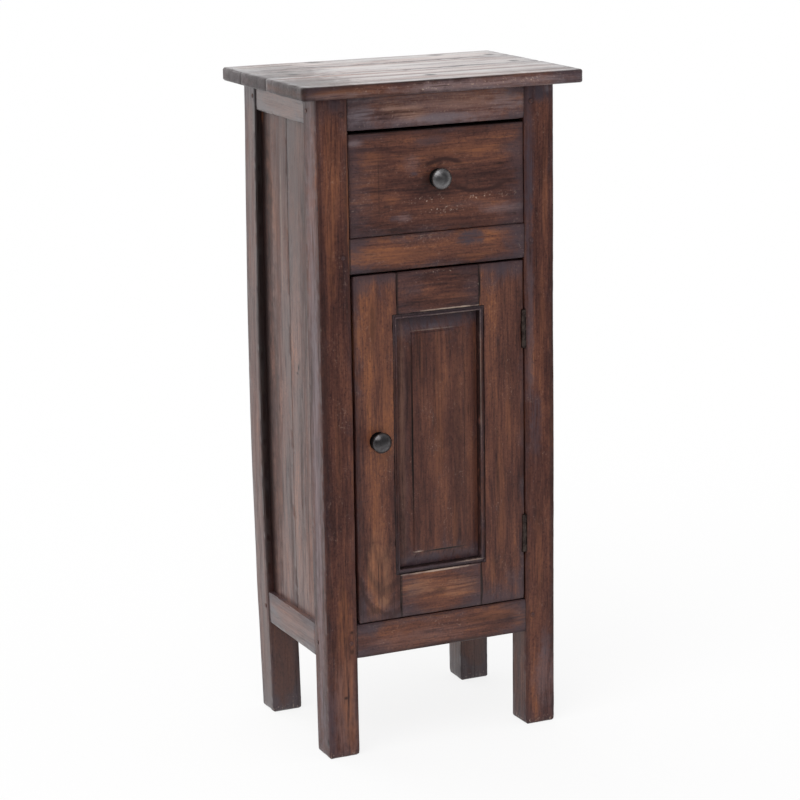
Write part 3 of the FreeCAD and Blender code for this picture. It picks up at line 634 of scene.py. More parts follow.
def stained_teak(name):
    """The stain over the grain: streaks, blotches, smudges towards ends and arrises, pores and wear."""
    finish = bpy.context.scene.table_finish
    tree, given = group_tree(name, ["Place", "Grain place", "Low", "High", "Along"],
                             ["Joined", "Tone", "Cool", "Contrast", "Worn"])
    grain = use(tree, teak_grain, {"Place": given["Grain place"]})
    block = use(tree, arris_distance, {label: given[label] for label in (*BLOCK_VECTORS, "Joined")})
    streaks = total(tree, (grain["Fine"], 1.1), (grain["Medium"], 0.8), -0.95)
    level = total(tree, streaks, (grain["Blotch"], 1.65), (grain["Speckle"], 0.7), -1.175)
    level = total(tree, times(tree, level, given["Contrast"]), given["Tone"], (grain["Figure"], -0.09), 0.44)
    ramp = put(tree, "ShaderNodeValToRGB", {0: level})
    stops = ramp.color_ramp.elements
    stops[0].position, stops[0].color = STAIN_STOPS[0], finish.stain_dark
    stops[1].position, stops[1].color = STAIN_STOPS[3], finish.glow
    stops.new(STAIN_STOPS[1]).color = finish.stain_brown
    stops.new(STAIN_STOPS[2]).color = finish.stain_warm
    near_end = step(tree, block["End"], *END_SMUDGE_STEP)
    near_arris = step(tree, block["Arris"], *ARRIS_SMUDGE_STEP)
    smudge = step(tree, total(tree, grain["Smudge"], near_end, near_arris), *SMUDGE_STEP)
    rim = step(tree, total(tree, block["Arris"], (grain["Smudge"], 0.012)), *RIM_STEP)
    seam = times(tree, step(tree, block["End"], *SEAM_STEP), given["Joined"])
    pits = step(tree, grain["Speckle"], *PIT_STEP)
    flecks = step(tree, grain["Speckle"], *FLECK_STEP)
    scattered = times(tree, flecks, step(tree, grain["Smudge"], *SCATTER_STEP))
    ragged = total(tree, block["Arris"], (grain["Speckle"], 0.0022), (grain["Cloud"], 0.0035))
    worn = times(tree, step(tree, ragged, *WORN_STEP), given["Worn"])
    shown = ramp.outputs["Color"]
    for mask, shade in ((times(tree, smudge, given["Cool"]), finish.smudge), (rim, finish.shade),
                        (seam, finish.shade), (times(tree, grain["Pores"], PORE_SHARE), finish.shade),
                        (pits, finish.shade), (times(tree, scattered, FLECK_SHARE), finish.bare),
                        (times(tree, worn, WORN_SHARE), finish.bare)):
        shown = mixed(tree, mask, shown, shade)
    polish = total(tree, grain["Bands"], (grain["Fine"], 0.7), (pits, -0.3))
    return give_out(tree, {
        "Color": shown,
        "Roughness": total(tree, (grain["Blotch"], 0.2), (grain["Pores"], 0.15), (worn, 0.15),
                           (grain["Speckle"], 0.12), 0.26),
        "Height": total(tree, (grain["Fine"], 0.8), (grain["Pores"], -0.5), grain["Medium"]),
        "Streaks": streaks,
        "Cloud": grain["Cloud"],
        "Flecks": flecks,
        "Polish": total(tree, step(tree, polish, *POLISH_STEP), 0.25),
    })


TURN_TO_Z = {"X": (0, -math.pi / 2, 0), "Y": (math.pi / 2, 0, 0), "Z": (0, 0, 0)}
OPEN_REACH = 1.0e6
ARC_WIDTH = 4.0 * MM
# Patches whose colour has another name than the patch itself
PAINTS = {"flecks": "bare", "line": "dirt", "knot": "dirt",
          "arc over": "stain_dark", "arc under": "stain_dark"}


@dataclass
class Finish:
    """How one piece is stained."""
    grain: str = "Z"  # the axis along which its grain runs
    tone: float = 0.0  # how much lighter the stain is than usual
    cool: float = 1.0  # how much of the blue-grey smudging it has
    contrast: float = 1.0  # how strong its figure is
    worn: float = 1.0  # how far its arrises show pale wood
    joined: float = 0.0  # 1 where its ends run into other pieces
    ior: float = 1.4
    coat: float = 0.0  # the share of wax that shines
    even: float = 0.0  # how even that shine is
    box: tuple = None  # the corners between which its ends and arrises lie, if not its own
    depth: float = None  # how deep its patches reach from its front, if not all through
    patches: tuple = ()  # soft marks: kind, middle and reach in mm, strength
    lines: tuple = ()  # outlines: rectangle, offset, width, strength, colour


def patch_sizes(spot, reach):
    """A patch's middle and reach in metres; None leaves an axis open."""
    middle = [0.0 if value is None else value * MM for value in spot]
    return middle, [OPEN_REACH if value is None else value * MM for value in reach]


def new_material(name):
    """A new material: itself, its tree, the inputs of its shader and the place on the object."""
    material = bpy.data.materials.new(name)
    material.use_nodes = True
    tree = material.node_tree
    place = put(tree, "ShaderNodeTexCoord").outputs["Object"]
    return material, tree, tree.nodes["Principled BSDF"].inputs, place


def set_bump(tree, shader, strength, distance, height):
    """Gives a shader small bumps."""
    bump = put(tree, "ShaderNodeBump", {"Strength": strength, "Distance": distance, "Height": height})
    tree.links.new(bump.outputs["Normal"], shader["Normal"])


def patch_mask(tree, place, wood, kind, spot, reach):
    """Where one patch shows."""
    middle, reach = patch_sizes(spot, reach)
    inputs = {"Place": place, "Middle": middle, "Reach": reach, "Cloud": wood["Cloud"]}
    if kind.startswith("arc"):
        inputs.update({"Side": 1.0 if kind == "arc over" else -1.0, "Width": ARC_WIDTH / min(reach)})
        return use(tree, arc, inputs)["Mask"]
    inputs["Ragged"] = CRISP if kind in ("line", "knot") else SOFT
    return use(tree, patch, inputs)["Mask"]


def teak(name, low, high, look):
    """Stained, worn teak for one piece."""
    colours = bpy.context.scene.table_finish
    material, tree, shader, place = new_material(name)
    seed = sum(low) * GRAIN_SHIFT[0] + sum(high) * GRAIN_SHIFT[1]
    turned = put(tree, "ShaderNodeMapping", {"Vector": place, "Rotation": TURN_TO_Z[look.grain],
                                             "Location": (seed, -seed, seed * GRAIN_RISE)}).outputs[0]
    along = [1.0 if axis == look.grain else 0.0 for axis in "XYZ"]
    inputs = {label: getattr(look, label.lower()) for label in ("Joined", "Tone", "Cool", "Contrast", "Worn")}
    inputs.update({"Place": place, "Grain place": turned, "Low": low, "High": high, "Along": along})
    wood = use(tree, stained_teak, inputs)
    shown = wood["Color"]
    polish = wood["Polish"]
    outer_part = 1.0
    if look.depth:
        outer_part = step(tree, split(tree, place)[1], low[1] + look.depth, low[1] + look.depth - MM)
    for kind, spot, reach, strength in look.patches:
        mask = patch_mask(tree, place, wood, kind, spot, reach)
        if kind in ("line", "knot", "shade", "smudge"):
            polish = calc(tree, "MULTIPLY_ADD", times(tree, mask, -strength), polish, polish)
        if kind == "flecks":
            mask = times(tree, mask, wood["Flecks"])
        elif kind in ("glow", "pale", "smudge", "shade", "haze"):
            mask = times(tree, mask, step(tree, wood["Streaks"], *STREAK_STEP))
        mask = times(tree, mask, outer_part)
        paint = getattr(colours, PAINTS.get(kind, kind))
        shown = mixed(tree, times(tree, mask, strength), shown, paint)
    for rectangle, offset, width, strength, shade in look.lines:
        distance = use(tree, outline_distance, {"Place": place, "Low": rectangle[0], "High": rectangle[1]})
        off = calc(tree, "ABSOLUTE", calc(tree, "SUBTRACT", distance["Distance"], offset))
        mask = step(tree, off, width, width * LINE_EDGE)
        mask = times(tree, mask, step(tree, wood["Cloud"], *LINE_CLOUD_STEP))
        shown = mixed(tree, times(tree, mask, strength), shown, shade)
    tree.links.new(shown, shader["Base Color"])
    tree.links.new(wood["Roughness"], shader["Roughness"])
    shader["IOR"].default_value = look.ior
    if look.coat:
        weight = total(tree, (polish, look.coat * (1.0 - look.even)), look.coat * look.even)
        tree.links.new(weight, shader["Coat Weight"])
        shader["Coat Roughness"].default_value = COAT_ROUGHNESS
    set_bump(tree, shader, strength=0.5, distance=0.0007, height=wood["Height"])
    return material


def metal(name, light, dark, roughness, metallic, bumps=0.35, underside_shade_from=None):
    """Cast and tarnished metal, or scuffed plastic; painted shade darkens what lies behind a depth, as under
    a knob's head.
    """
    material, tree, shader, place = new_material(name)
    tarnish = noise(tree, place, *TARNISH_LAYER)
    fine = noise(tree, place, *SCRATCH_LAYER)
    shown = mixed(tree, step(tree, tarnish, *TARNISH_STEP), dark, light)
    # Painted shade: darker towards the wood, under a knob's head
    if underside_shade_from is not None:
        depth = total(tree, split(tree, place)[1], (tarnish, 2 * MM))
        shade_under_head = step(tree, depth, underside_shade_from, underside_shade_from + UNDERSIDE_SHADE_FADE, UNDERSIDE_SHADE_SHARE)
        shown = mixed(tree, shade_under_head, shown, bpy.context.scene.table_finish.dirt)
    tree.links.new(shown, shader["Base Color"])
    shader["Metallic"].default_value = metallic
    tree.links.new(total(tree, (tarnish, 0.25), (fine, 0.1), roughness), shader["Roughness"])
    set_bump(tree, shader, bumps, distance=0.0004, height=total(tree, tarnish, (fine, 0.3)))
    return material


# Building pieces

PEG_MARK = 4.6  # reach in mm of the dark ring round a peg
FRAME_PATCH_DEPTH = 12 * MM  # how deep the patches of rails and stiles reach


def aged_block(node, body, look, low=None, high=None, radius=None, wear=1.0, keep=None, hollows=()):
    """A wooden piece in place of its node: a block with worn arrises and its hollows cut out."""
    wood = bpy.context.scene.table_wood
    node_low, node_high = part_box(node)
    low = low or node_low
    high = high or node_high
    piece = add_block("aged_" + node, low, high)
    if low.z < wood.foot_arris:
        round_arrises(piece, wood.foot_arris, lambda first, last: max(first.z, last.z) < low.z + HAIR)
    round_arrises(piece, radius or wood.arris_radius, keep)
    for cutter in hollows:
        cut_hollow(piece, cutter())
    stain_low, stain_high = look.box or (low, high)
    return finish_wood(piece, [node], body, teak("teak " + node, stain_low, stain_high, look), wear=wear)


def between(node, low_node, high_node, axis):
    """The body of a rail: its node without the tenons that run into the posts."""
    bite = bpy.context.scene.table_wood.bite
    low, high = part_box(node)
    low[axis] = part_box(low_node)[1][axis] - bite
    high[axis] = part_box(high_node)[0][axis] + bite
    return low, high


def hinge_hollows(owner):
    """Cutters for the recess of each hinge leaf and the room of each barrel, for a post or the door."""
    gap = Vector([bpy.context.scene.table_wood.recess_gap] * 3)
    leaf_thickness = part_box("hinge_upper_post_leaf")[1].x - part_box("post_front_right")[0].x
    cutters = []
    for level in ("upper", "lower"):
        low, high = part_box(f"hinge_{level}_{owner}_leaf")
        if owner == "door":
            low.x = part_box("door_stile_right")[1].x - leaf_thickness
        cutters.append(lambda low=low, high=high: add_block("leaf_cutter", low - gap, high + gap))
    leaf_low, leaf_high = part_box("hinge_upper_door_leaf")
    reach = (leaf_high.x - leaf_low.x) / 2 + gap.x
    for low, high in loose_boxes("hinge_pins"):
        def barrel(middle=(low + high) / 2, depth=high.z - low.z + gap.z * 2):
            clear_selection()
            bpy.ops.mesh.primitive_cylinder_add(vertices=24, radius=reach, depth=depth, location=middle)
            apply_place()
            return bpy.context.object
        cutters.append(barrel)
    return cutters


def peg_marks(post):
    """Dark rings where the pegs come through a post."""
    low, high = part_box(post)
    marks = []
    for peg_low, peg_high in loose_boxes("joint_pegs"):
        middle = (peg_low + peg_high) / 2
        if all(low[axis] <= middle[axis] <= high[axis] for axis in range(3)):
            lengthwise = longest_axis(peg_low, peg_high)
            spot = [None if axis == lengthwise else middle[axis] / MM for axis in range(3)]
            reach = [None if axis == lengthwise else PEG_MARK for axis in range(3)]
            marks.append(("shade", spot, reach, 0.85))
    return marks


# Where the patches of each piece are: kind, spot and reach in mm, strength. Each shows over those before it.


def seen_along(axis, rows):
    """Patches from rows of a kind, a spot and a reach on the two other axes in mm, and a strength."""
    place = "XYZ".index(axis)
    patches = []
    for kind, first, second, wide, high, strength in rows:
        spot, reach = [first, second], [wide, high]
        spot.insert(place, None)
        reach.insert(place, None)
        patches.append((kind, spot, reach, strength))
    return patches


class TABLE_OT_top(bpy.types.Operator):
    """Builds the three boards of the top"""
    bl_idname = "table.top"
    bl_label = "Top boards"

    marks = {
        "front": [
            *seen_along("Z", [
                ("knot", 2, -88, 10, 12, 1.0), ("smudge", -180, -90, 9, 14, 0.8),
                ("shade", -201, -95, 9, 110, 0.8), ("line", -201, -118, 5, 1.5, 0.9),
                ("line", -201, -104, 5, 2.2, 0.9), ("line", -201, -76, 5, 1.8, 0.9)]),
            ("line", (0, -139.5, 898.3), (230, 2.6, 1.6), 0.7),
            *seen_along("Y", [
                ("glow", -100, 889, 150, 8, 0.4), ("pale", -150, 889, 60, 6, 0.35)]),
            *seen_along("Z", [
                ("shade", -165, -90, 80, 90, 0.85), ("shade", 150, -112, 80, 26, 0.45),
                ("shade", -60, -122, 120, 5, 0.6), ("shade", -90, -104, 60, 3, 0.8),
                ("shade", 60, -128, 90, 4, 0.5), ("shade", 20, -70, 80, 3, 0.6)]),
            *seen_along("Y", [
                ("haze", 60, 889, 170, 9, 0.7), ("haze", -150, 887, 50, 4, 0.5),
                ("flecks", 20, 890, 170, 8, 0.8), ("flecks", 110, 892, 30, 4, 1.0),
                ("line", -8, 890.5, 22, 0.8, 0.9), ("glow", -160, 889, 24, 7, 0.3),
                ("glow", 60, 890, 90, 7, 0.25)]),
            *seen_along("Z", [("shade", -196, -135, 6, 8, 0.8)])],
        "middle": seen_along("Z", [
            ("knot", -151, 8, 12, 13, 1.0), ("shade", -201, 0, 9, 110, 0.8),
            ("line", -201, -30, 5, 2.2, 0.9), ("line", -201, 14, 5, 1.6, 0.9),
            ("knot", -150, 44, 18, 8, 0.9), ("knot", -168, 46, 6, 4, 0.9),
            ("smudge", -185, 10, 10, 20, 0.7), ("shade", -160, 20, 80, 80, 0.75),
            ("shade", -110, 40, 50, 5, 0.8), ("shade", -120, -18, 60, 4, 0.8),
            ("shade", -60, 8, 70, 3, 0.7), ("shade", 30, 26, 60, 4, 0.6), ("shade", 80, -12, 70, 3, 0.5),
            ("knot", 168, 1, 9, 11, 0.9), ("shade", -170, 20, 30, 2, 0.6), ("knot", -118, 30, 7, 8, 0.7),
            ("line", -60, -20, 60, 2.2, 0.7), ("line", 60, 14, 70, 2.2, 0.6),
            ("line", 120, -30, 40, 2.2, 0.6)]),
        "back": seen_along("Z", [
            ("knot", -71, 128, 16, 12, 0.9), ("knot", 175, 88, 10, 11, 0.9),
            ("shade", -201, 95, 9, 110, 0.7), ("line", -201, 70, 5, 2, 0.9),
            ("line", -201, 112, 5, 1.6, 0.9), ("shade", -150, 90, 60, 60, 0.5),
            ("shade", -40, 60, 60, 5, 0.7), ("shade", -130, 108, 50, 4, 0.8),
            ("shade", -100, 76, 40, 4, 0.8), ("shade", 40, 100, 70, 3, 0.5), ("shade", 90, 66, 60, 3, 0.5),
            ("knot", 110, 122, 16, 10, 0.8), ("line", -90, 92, 70, 2.2, 0.7),
            ("line", 60, 112, 60, 2.2, 0.6), ("line", 130, 74, 40, 2.2, 0.6)]),
    }

    seam_length = 20 * MM  # an arris along a seam is longer than this
    seam_arris = 0.6  # rounding along the seams, as a share of the fine arris
    seam_reach = (230, 2.4, None)

    def execute(self, context):
        wood = context.scene.table_wood
        inset = Vector((wood.margin, wood.margin, 0))
        outer_low = Vector(cad_box[0]) + inset
        outer_high = Vector(cad_box[1]) - inset - Vector((0, 0, wood.margin))

        def off_outline(point, axis):
            gap = min(abs(point[axis] - outer_low[axis]), abs(point[axis] - outer_high[axis]))
            return gap > HAIR

        def corner(first, last):
            return abs(first.z - last.z) > MM and not off_outline(first, 0) and not off_outline(first, 1)

        def rim(first, last):
            runs_along_seam = abs(first.x - last.x) > self.seam_length and off_outline(first, 1)
            return abs(first.z - last.z) < HAIR and not runs_along_seam
        for part, patches in self.marks.items():
            node = "top_board_" + part
            low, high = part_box(node)
            low = Vector([max(low[axis], outer_low[axis]) for axis in range(3)])
            high = Vector([min(high[axis], outer_high[axis]) for axis in range(3)])
            piece = add_block("aged_" + node, low, high)
            if part != "middle":
                round_arrises(piece, wood.top_corner, corner, segments=4)
            round_arrises(piece, wood.top_arris, rim)
            round_arrises(piece, wood.fine_arris * self.seam_arris, segments=2)
            inner_edges = [edge for edge in (low.y, high.y) if outer_low.y + MM < edge < outer_high.y - MM]
            seams = [("line", (0, edge / MM, None), self.seam_reach, 0.9) for edge in inner_edges]
            look = Finish("X", tone=0.06, contrast=0.9, ior=1.35, coat=0.95, patches=[*patches, *seams])
            material = teak("teak " + node, low, high, look)
            finish_wood(piece, [node], "carcass", material, axes="XYZ", bend=False, wear=0.6)
        return {"FINISHED"}


class TABLE_OT_posts(bpy.types.Operator):
    """Builds the four posts that run to the floor as legs"""
    bl_idname = "table.posts"
    bl_label = "Posts"

    marks = {
        "post_front_left": [
            *seen_along("Y", [
                ("glow", -157, 740, 9, 140, 0.5), ("glow", -147, 800, 6, 70, 0.3),
                ("shade", -134, 700, 6, 150, 0.5), ("haze", -150, 70, 22, 90, 0.3),
                ("glow", -152, 110, 18, 120, 0.35), ("glow", -132, 740, 2.2, 100, 0.6),
                ("shade", -169, 560, 7, 260, 0.5), ("glow", -150, 190, 9, 70, 0.6),
                ("glow", -145, 90, 10, 60, 0.6), ("smudge", -148, 872, 14, 14, 0.7),
                ("smudge", -168, 60, 9, 60, 0.7)]),
            *seen_along("X", [("knot", -116, 742, 2, 4, 0.9)]),
            *seen_along("Y", [
                ("glow", -152, 430, 6, 110, 0.2), ("knot", -138, 173, 3, 3, 0.7),
                ("knot", -148, 83, 4, 3, 0.8), ("knot", -138, 146, 4, 5, 0.6),
                ("glow", -141, 30, 9, 34, 0.5)])],
        "post_front_right": seen_along("Y", [
            ("smudge", 145, 872, 28, 18, 1.0), ("haze", 158, 877, 14, 8, 0.35),
            ("haze", 130, 560, 6, 150, 0.25), ("glow", 152, 740, 6, 95, 0.25),
            ("glow", 147, 560, 7, 90, 0.3), ("smudge", 129, 780, 9, 110, 0.8),
            ("smudge", 129, 620, 7, 220, 0.7), ("smudge", 137, 430, 10, 70, 0.7),
            ("glow", 141, 240, 8, 90, 0.3), ("shade", 161, 400, 5, 330, 0.5),
            ("smudge", 150, 115, 11, 30, 0.5), ("haze", 150, 70, 20, 60, 0.25)]),
        "post_back_left": seen_along("X", [("knot", 118, 640, 1.5, 3, 0.8)]),
        "post_back_right": [],
    }

    # Painted sheen and cracks on the side of the front left post: kind, way in from its front, height, reach,
    # strength; the broad haze is the painted sheen
    scuffs = [
        ("haze", 22, 450, 19, 600, 0.6), ("line", 12, 210, 1.2, 40, 0.6), ("line", 24, 150, 1.1, 46, 0.55),
        ("line", 19, 80, 1.3, 34, 0.6), ("line", 27, 330, 1.1, 60, 0.5), ("line", 14, 420, 1.0, 50, 0.45),
        ("knot", 6, 22, 4, 7, 0.8), ("knot", 9, 232, 3, 5, 0.6)]
    # Heights of the painted shade, over thick stain, on the back left post's wall beside the side boards
    dark_heights = (330, 520, 680, 830)
    looks = {
        "front": {"tone": -0.02, "cool": 0.5, "contrast": 0.95, "worn": 1.0, "ior": 1.3, "coat": 0.1},
        "back": {"cool": 1.0, "contrast": 0.75, "worn": 0.5, "ior": 1.4, "coat": 0.6},
    }

    def execute(self, context):
        for node, patches in self.marks.items():
            row = "back" if "back" in node else "front"
            side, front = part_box(node)[0].x / MM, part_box(node)[0].y / MM
            foot = [("flecks", (None, None, 3), (None, None, 9), 0.8)]
            if row == "back":
                foot.append(("shade", (None, None, 40), (None, None, 170), 0.28))
            if node == "post_front_left":
                # Painted sheen and cracks on the post's side face
                foot += [(kind, (side, front + way_in, height), (5, wide, tall), strength)
                         for kind, way_in, height, wide, tall, strength in self.scuffs]
            if node == "post_back_left":
                # Painted shade, over thick stain, on the back left post's wall in the recess of the side
                # boards
                foot += [("line", (-168, front, height), (20, 7, 230), 0.75) for height in self.dark_heights]
            look = Finish("Z", patches=[*patches, *foot, *peg_marks(node)], **self.looks[row])
            hollows = hinge_hollows("post") if node == "post_front_right" else ()
            aged_block(node, "carcass", look, hollows=hollows)
        return {"FINISHED"}


class TABLE_OT_pegs(bpy.types.Operator):
    """Builds the pegs that hold the tenons, each a copy of one whittled peg"""
    bl_idname = "table.pegs"
    bl_label = "Pegs"

    facets = 12
    # Width and height of the whittled rim and of the dent in the middle, as shares of the radius
    rim = (0.25, 0.12)
    dent = (0.3, -0.05)
    turn = 1.7  # how far each peg is turned from the one before, in radians

    def execute(self, context):
        wood = context.scene.table_wood
        places = loose_boxes("joint_pegs")
        middle_of_table = (Vector(cad_box[0]) + Vector(cad_box[1])) / 2
        sides = sorted(places[0][1] - places[0][0])
        radius, depth = sides[0] / 2, sides[2]
        clear_selection()
        bpy.ops.mesh.primitive_cylinder_add(vertices=self.facets, radius=radius, depth=depth)
        model = context.object
        pick(model, "FACE", lambda face: face.normal.z > 0.9)
        for width, height in (self.rim, self.dent):
            bpy.ops.mesh.inset(thickness=radius * width, depth=radius * height)
        set_mode("OBJECT")
        copies = []
        for number, (low, high) in enumerate(places):
            lengthwise = longest_axis(low, high)
            outwards = Vector([1.0 if axis == lengthwise else 0.0 for axis in range(3)])
            place = (low + high) / 2
            if place[lengthwise] < middle_of_table[lengthwise]:
                outwards.negate()
            copy = model.copy()
            copy.data = model.data.copy()
            context.scene.collection.objects.link(copy)
            lean = outwards.to_track_quat("Z", "Y").to_matrix().to_4x4()
            turn = Matrix.Rotation(number * self.turn, 4, "Z")
            copy.matrix_world = Matrix.Translation(place + outwards * wood.peg_proud) @ lean @ turn
            copies.append(copy)
        bpy.data.objects.remove(model)
        clear_selection()
        for copy in copies:
            copy.select_set(True)
        context.view_layer.objects.active = copies[0]
        bpy.ops.object.join()
        apply_place()
        pegs = context.object
        pegs.name = "aged_joint_pegs"
        warp(pegs, "XY")
        bend_with_cage(pegs)
        look = Finish("Y", tone=-0.1, worn=0.0)
        dress(pegs, ["joint_pegs"], "carcass",
              teak("teak pegs", Vector(cad_box[0]), Vector(cad_box[1]), look))
        return {"FINISHED"}


class TABLE_OT_rails(bpy.types.Operator):
    """Builds the rails between the posts"""
    bl_idname = "table.rails"
    bl_label = "Rails"

    marks = {
        "rail_front_top": seen_along("Y", [
            ("pale", -38, 856, 26, 13, 0.8), ("pale", -66, 862, 22, 11, 0.6),
            ("pale", 40, 866, 60, 9, 0.3), ("glow", 45, 862, 50, 10, 0.35),
            ("smudge", -112, 858, 20, 13, 0.7), ("smudge", 5, 848, 44, 7, 0.7),
            # The line along the rail's lower arris, at 836.6, is painted shade in the gap over the drawer
            ("knot", 7, 844, 2, 2, 0.7), ("knot", 17.5, 845, 2, 2, 0.7), ("line", 0, 836.6, 300, 1.6, 1.0),
            ("haze", -110, 860, 26, 16, 0.5), ("haze", 0, 846, 90, 9, 0.35),
            ("haze", 95, 862, 30, 14, 0.4), ("haze", 0, 860, 190, 40, 0.36),
            ("flecks", 0, 858, 150, 26, 0.22)]),
        "rail_front_middle": seen_along("Y", [
            ("glow", -60, 672, 62, 13, 0.4), ("glow", 48, 663, 36, 7, 0.6),
            ("smudge", 42, 688, 22, 11, 0.9), ("smudge", 42, 686, 24, 13, 0.9),
            ("smudge", 44, 688, 16, 8, 0.8), ("smudge", 105, 676, 20, 16, 0.5)]),
        "rail_front_bottom": seen_along("Y", [
            ("glow", 70, 166, 52, 9, 0.4), ("glow", -68, 152, 42, 14, 0.15),
            ("glow", 112, 155, 14, 14, 0.35), ("haze", -40, 150, 90, 16, 0.15),
            ("smudge", -112, 168, 16, 12, 0.5), ("shade", 0, 137, 130, 4, 0.7)]),
    }

    front_tones = {"rail_front_top": 0.13, "rail_front_middle": 0.13, "rail_front_bottom": 0.04}
    side_looks = {"top": {"contrast": 0.6, "coat": 0.95, "even": 0.6},
                  "bottom": {"contrast": 0.8, "coat": 0.68, "even": 0.4}}

    def execute(self, context):
        for node, patches in self.marks.items():
            low, high = between(node, "post_front_left", "post_front_right", 0)
            look = Finish("X", self.front_tones[node], joined=1.0, depth=FRAME_PATCH_DEPTH, patches=patches)
            aged_block(node, "carcass", look, low, high)
        for side in ("left", "right"):
            for level, settings in self.side_looks.items():
                node = f"rail_{side}_{level}"
                low, high = between(node, "post_front_" + side, "post_back_" + side, 1)
                look = Finish("Y", tone=0.04, joined=1.0, **settings)
                aged_block(node, "carcass", look, low, high)
        for level in ("top", "bottom"):
            node = "rail_back_" + level
            low, high = between(node, "post_back_left", "post_back_right", 0)
            aged_block(node, "carcass", Finish("X", joined=1.0), low, high)
        return {"FINISHED"}


class TABLE_OT_panels(bpy.types.Operator):
    """Builds the upright boards of the sides and the back"""
    bl_idname = "table.panels"
    bl_label = "Side and back boards"

    marks = {
        "left_panel_front_board": seen_along("X", [
            ("knot", -24, 516, 3, 6, 0.95), ("knot", -20, 508, 5, 2.5, 0.7),
            ("shade", -52, 640, 5, 190, 0.5), ("shade", -28, 380, 6, 170, 0.6),
            ("shade", -66, 300, 7, 150, 0.7), ("line", -44, 300, 2, 90, 0.5)]),
        "left_panel_back_board": seen_along("X", [
            ("shade", 50, 420, 9, 260, 0.6), ("shade", 12, 300, 5, 140, 0.6),
            ("shade", 62, 700, 12, 160, 0.6), ("bare", 24, 710, 2.5, 120, 0.3),
            # The shade at 90 and the line at 92 are painted shade in the recess beside the back post, over
            # thick stain
            ("line", 38, 330, 1.6, 70, 0.8), ("shade", 90, 500, 36, 900, 1.0),
            ("line", 92, 500, 25, 900, 0.85), ("glow", 84, 838, 5, 12, 0.7)]),
        "right_panel_front_board": [],
        "right_panel_back_board": [],
        "back_panel_left_board": [],
        "back_panel_right_board": [],
    }

    def execute(self, context):
        wood = context.scene.table_wood
        dim_top = ("shade", (None, None, 800), (None, None, 230), 0.38)
        for node, patches in self.marks.items():
            look = Finish("Z", tone=0.02, contrast=0.95, cool=0.35, coat=0.7, patches=[*patches, dim_top])
            aged_block(node, "carcass", look, radius=wood.fine_arris, wear=0.3)
        return {"FINISHED"}


class TABLE_OT_drawer(bpy.types.Operator):
    """Builds the drawer's front"""
    bl_idname = "table.drawer"
    bl_label = "Drawer front"

    marks = seen_along("Y", [
        ("glow", -99, 800, 18, 15, 0.45), ("glow", -70, 745, 16, 6, 0.45), ("glow", 35, 803, 60, 9, 0.35),
        ("arc over", 4.5, 782, 24, 11, 0.85), ("arc under", 57, 761, 34, 13, 0.85),
        ("line", 34, 778, 16, 1.5, 0.6), ("line", 86, 781.5, 9, 1.5, 0.7), ("smudge", -37, 777, 7, 4, 0.8),
        ("smudge", -15, 818, 30, 8, 0.6), ("smudge", 103, 800, 20, 15, 0.5),
        ("smudge", -66, 721, 9, 6, 0.9), ("smudge", 40, 732, 50, 6, 0.4), ("flecks", -20, 742, 42, 5, 0.8),
        ("flecks", 5, 728, 34, 7, 0.9), ("flecks", 45, 740, 30, 4, 0.8), ("flecks", 85, 741, 34, 6, 0.6),
        ("haze", 90, 722, 40, 10, 0.3), ("haze", -52, 722, 14, 8, 0.4), ("haze", -122, 822, 14, 6, 0.4),
        ("haze", -40, 790, 14, 14, 0.2), ("line", -88, 765, 1.5, 50, 0.4),
        # The shade left of the knob, at -19 and 767, is the knob's painted shadow
        ("shade", -19, 767, 11, 13, 0.9), ("glow", -105, 762, 26, 40, 0.3)])

    def execute(self, context):
        low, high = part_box("drawer_front")
        high.z -= context.scene.table_wood.drawer_gap
        # Painted shade in the gap over the drawer: a dark line along the front's top
        gap_shade = ("line", (0, None, high.z / MM), (300, None, 1.4), 0.9)
        look = Finish("X", cool=0.65, depth=10 * MM, patches=[*self.marks, gap_shade])
        aged_block("drawer_front", "drawer", look, low, high)
        return {"FINISHED"}


def door_outline():
    """The lowest and highest corner of the door's opening inside its frame, on the door's face."""
    left_low, left_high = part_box("door_stile_left")
    right_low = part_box("door_stile_right")[0]
    face = left_low.y
    return (Vector((left_high.x, face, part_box("door_rail_bottom")[1].z)),
            Vector((right_low.x, face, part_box("door_rail_top")[0].z)))


